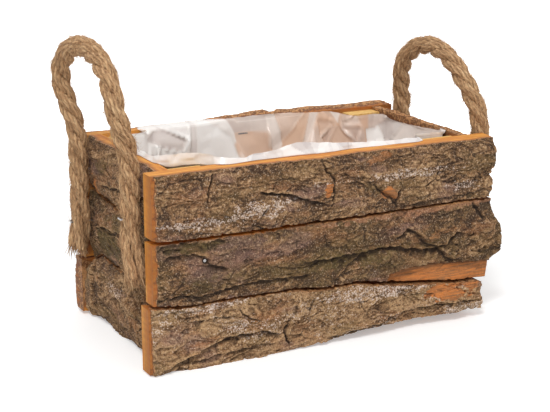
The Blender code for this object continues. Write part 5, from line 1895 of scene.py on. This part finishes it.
    def staple_distance(self, wall: Array) -> Array:
        """How far each point lies from the nearest of the four staples."""
        x, y = self.sizes.inner_x / MM, self.sizes.inner_y / MM
        seats = np.array([(x, 0), (-x, 0), (0, y), (0, -y)])
        away = [np.linalg.norm(wall - np.array([*seat, self.staple_height]), axis=-1) for seat in seats]
        return np.minimum.reduce(away)


# Studio

@dataclass(frozen=True)
class Lamp:
    """One soft lamp: where it stands, what it looks at, its size and its power."""

    name: str
    place: Triple
    size: float
    power: float
    target: Triple = (0.0, 0.0, 0.08)


@dataclass
class Studio:
    """The pale floor, the soft lamps and the camera at the photograph's angle."""

    camera_place: Triple = (-0.52024772, -0.99829929, 0.39694456)
    camera_tilt: float = math.radians(90 - 15.096415)
    camera_turn: float = math.radians(-27.530727)
    lens: float = 92.46072
    sensor: float = 36.0
    floor_side: float = 12.0
    floor_colour: Colour = (0.86, 0.86, 0.86)
    floor_glow: float = 0.34
    sky: float = 0.42
    lamps: tuple[Lamp, ...] = (
        Lamp("key lamp", (-0.9, -1.2, 1.9), 0.6, 30.0),
        Lamp("fill lamp", (1.6, -1.2, 1.0), 1.4, 8.0),
        Lamp("top lamp", (0.2, 0.8, 2.0), 1.2, 9.0),
    )

    def build(self) -> None:
        """Sets the studio up."""
        self.make_floor()
        self.make_world()
        for lamp in self.lamps:
            self.make_lamp(lamp)
        self.make_camera()

    def make_floor(self) -> None:
        """A plain pale plane that shows white to the camera but keeps the object's shadow."""
        side = self.floor_side / 2
        corners = [(-side, -side, 0), (side, -side, 0), (side, side, 0), (-side, side, 0)]
        mesh = bpy.data.meshes.new("floor")
        mesh.from_pydata(corners, [], [(0, 1, 2, 3)])
        floor = bpy.data.objects.new("floor", mesh)
        bpy.context.collection.objects.link(floor)
        made, nodes, shader = finish_nodes("pale floor", 0.9)
        away = nodes.add("VectorMath", {0: nodes.object_place()}, operation="LENGTH").outputs["Value"]
        glow = nodes.times(self.seen(nodes), nodes.spread(away, 0.30, 0.80, self.floor_glow, 1.0))
        nodes.feed(shader, {"Base Color": (*self.floor_colour, 1.0), "Specular IOR Level": 0.0,
                            "Emission Color": (1.0, 1.0, 1.0, 1.0), "Emission Strength": glow})
        mesh.materials.append(made)

    def make_world(self) -> None:
        """An even soft sky, white where it is seen."""
        world = bpy.data.worlds.new("studio")
        bpy.context.scene.world = world
        world.use_nodes = True
        nodes = Nodes(world.node_tree)
        strength = nodes.spread(self.seen(nodes), 0.0, 1.0, self.sky, 1.0)
        nodes.feed(world.node_tree.nodes["Background"],
                   {"Strength": strength, "Color": (1.0, 1.0, 1.0, 1.0)})

    @staticmethod
    def seen(nodes: Nodes) -> Socket:
        """One on rays from the camera and on mirrored and passed rays, or else nought."""
        rays = nodes.add("LightPath").outputs
        others = nodes.math("MAXIMUM", rays["Is Glossy Ray"], rays["Is Transmission Ray"])
        return nodes.math("MAXIMUM", rays["Is Camera Ray"], others)

    @staticmethod
    def make_lamp(lamp: Lamp) -> None:
        """One square area lamp turned to its target."""
        light = bpy.data.lights.new(lamp.name, "AREA")
        light.energy = lamp.power
        light.size = lamp.size
        made = bpy.data.objects.new(lamp.name, light)
        made.location = lamp.place
        ahead = Vector(lamp.target) - Vector(lamp.place)
        made.rotation_euler = ahead.to_track_quat("-Z", "Y").to_euler()
        bpy.context.collection.objects.link(made)

    def make_camera(self) -> None:
        """The camera where the photograph was taken from."""
        camera = bpy.data.cameras.new("camera")
        camera.lens = self.lens
        camera.sensor_width = self.sensor
        made = bpy.data.objects.new("camera", camera)
        made.location = self.camera_place
        made.rotation_euler = (self.camera_tilt, 0, self.camera_turn)
        bpy.context.collection.objects.link(made)
        bpy.context.scene.camera = made


def dress(name: str, finish: Material) -> None:
    """Gives a CAD piece its finish."""
    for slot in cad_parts[name].material_slots:
        slot.material = finish
    LOG.info("%s: dressed with %s", name, finish.name)


def main() -> None:
    """Builds the pieces in order and dresses the CAD pieces that stay."""
    logging.basicConfig(level=logging.INFO, format="%(name)s: %(message)s")
    sizes = BoxSizes.read()
    effects = Effects()
    bark, sawn = BarkFinish().make(effects), SawnFinish().make(effects)
    lath = PlainWoodFinish("sawn lath", paint(238, 200, 124), paint(216, 164, 86), Cut.UPRIGHT).make(effects)
    plywood = PlainWoodFinish("plywood", paint(206, 168, 118), paint(178, 134, 86), Cut.ALONG_LENGTH)
    board = plywood.make(effects)
    steel = SteelFinish().make()
    Studio().build()
    for cut in SLAB_CUTS:
        BarkSlab(cut, sizes).build(bark, sawn)
    jute = RopeFinish().make()
    for cut in HANDLE_CUTS:
        RopeHandle(cut, sizes).build(jute)
    FilmLiner(sizes).build(FilmFinish().make())
    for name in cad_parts:
        if name.endswith("_post"):
            dress(name, lath)
        elif name == "base_panel":
            dress(name, board)
        elif "nail" in name or "staple" in name:
            dress(name, steel)
    bpy.context.scene.view_settings.view_transform = "Standard"
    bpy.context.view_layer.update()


if __name__ == "__main__":
    main()
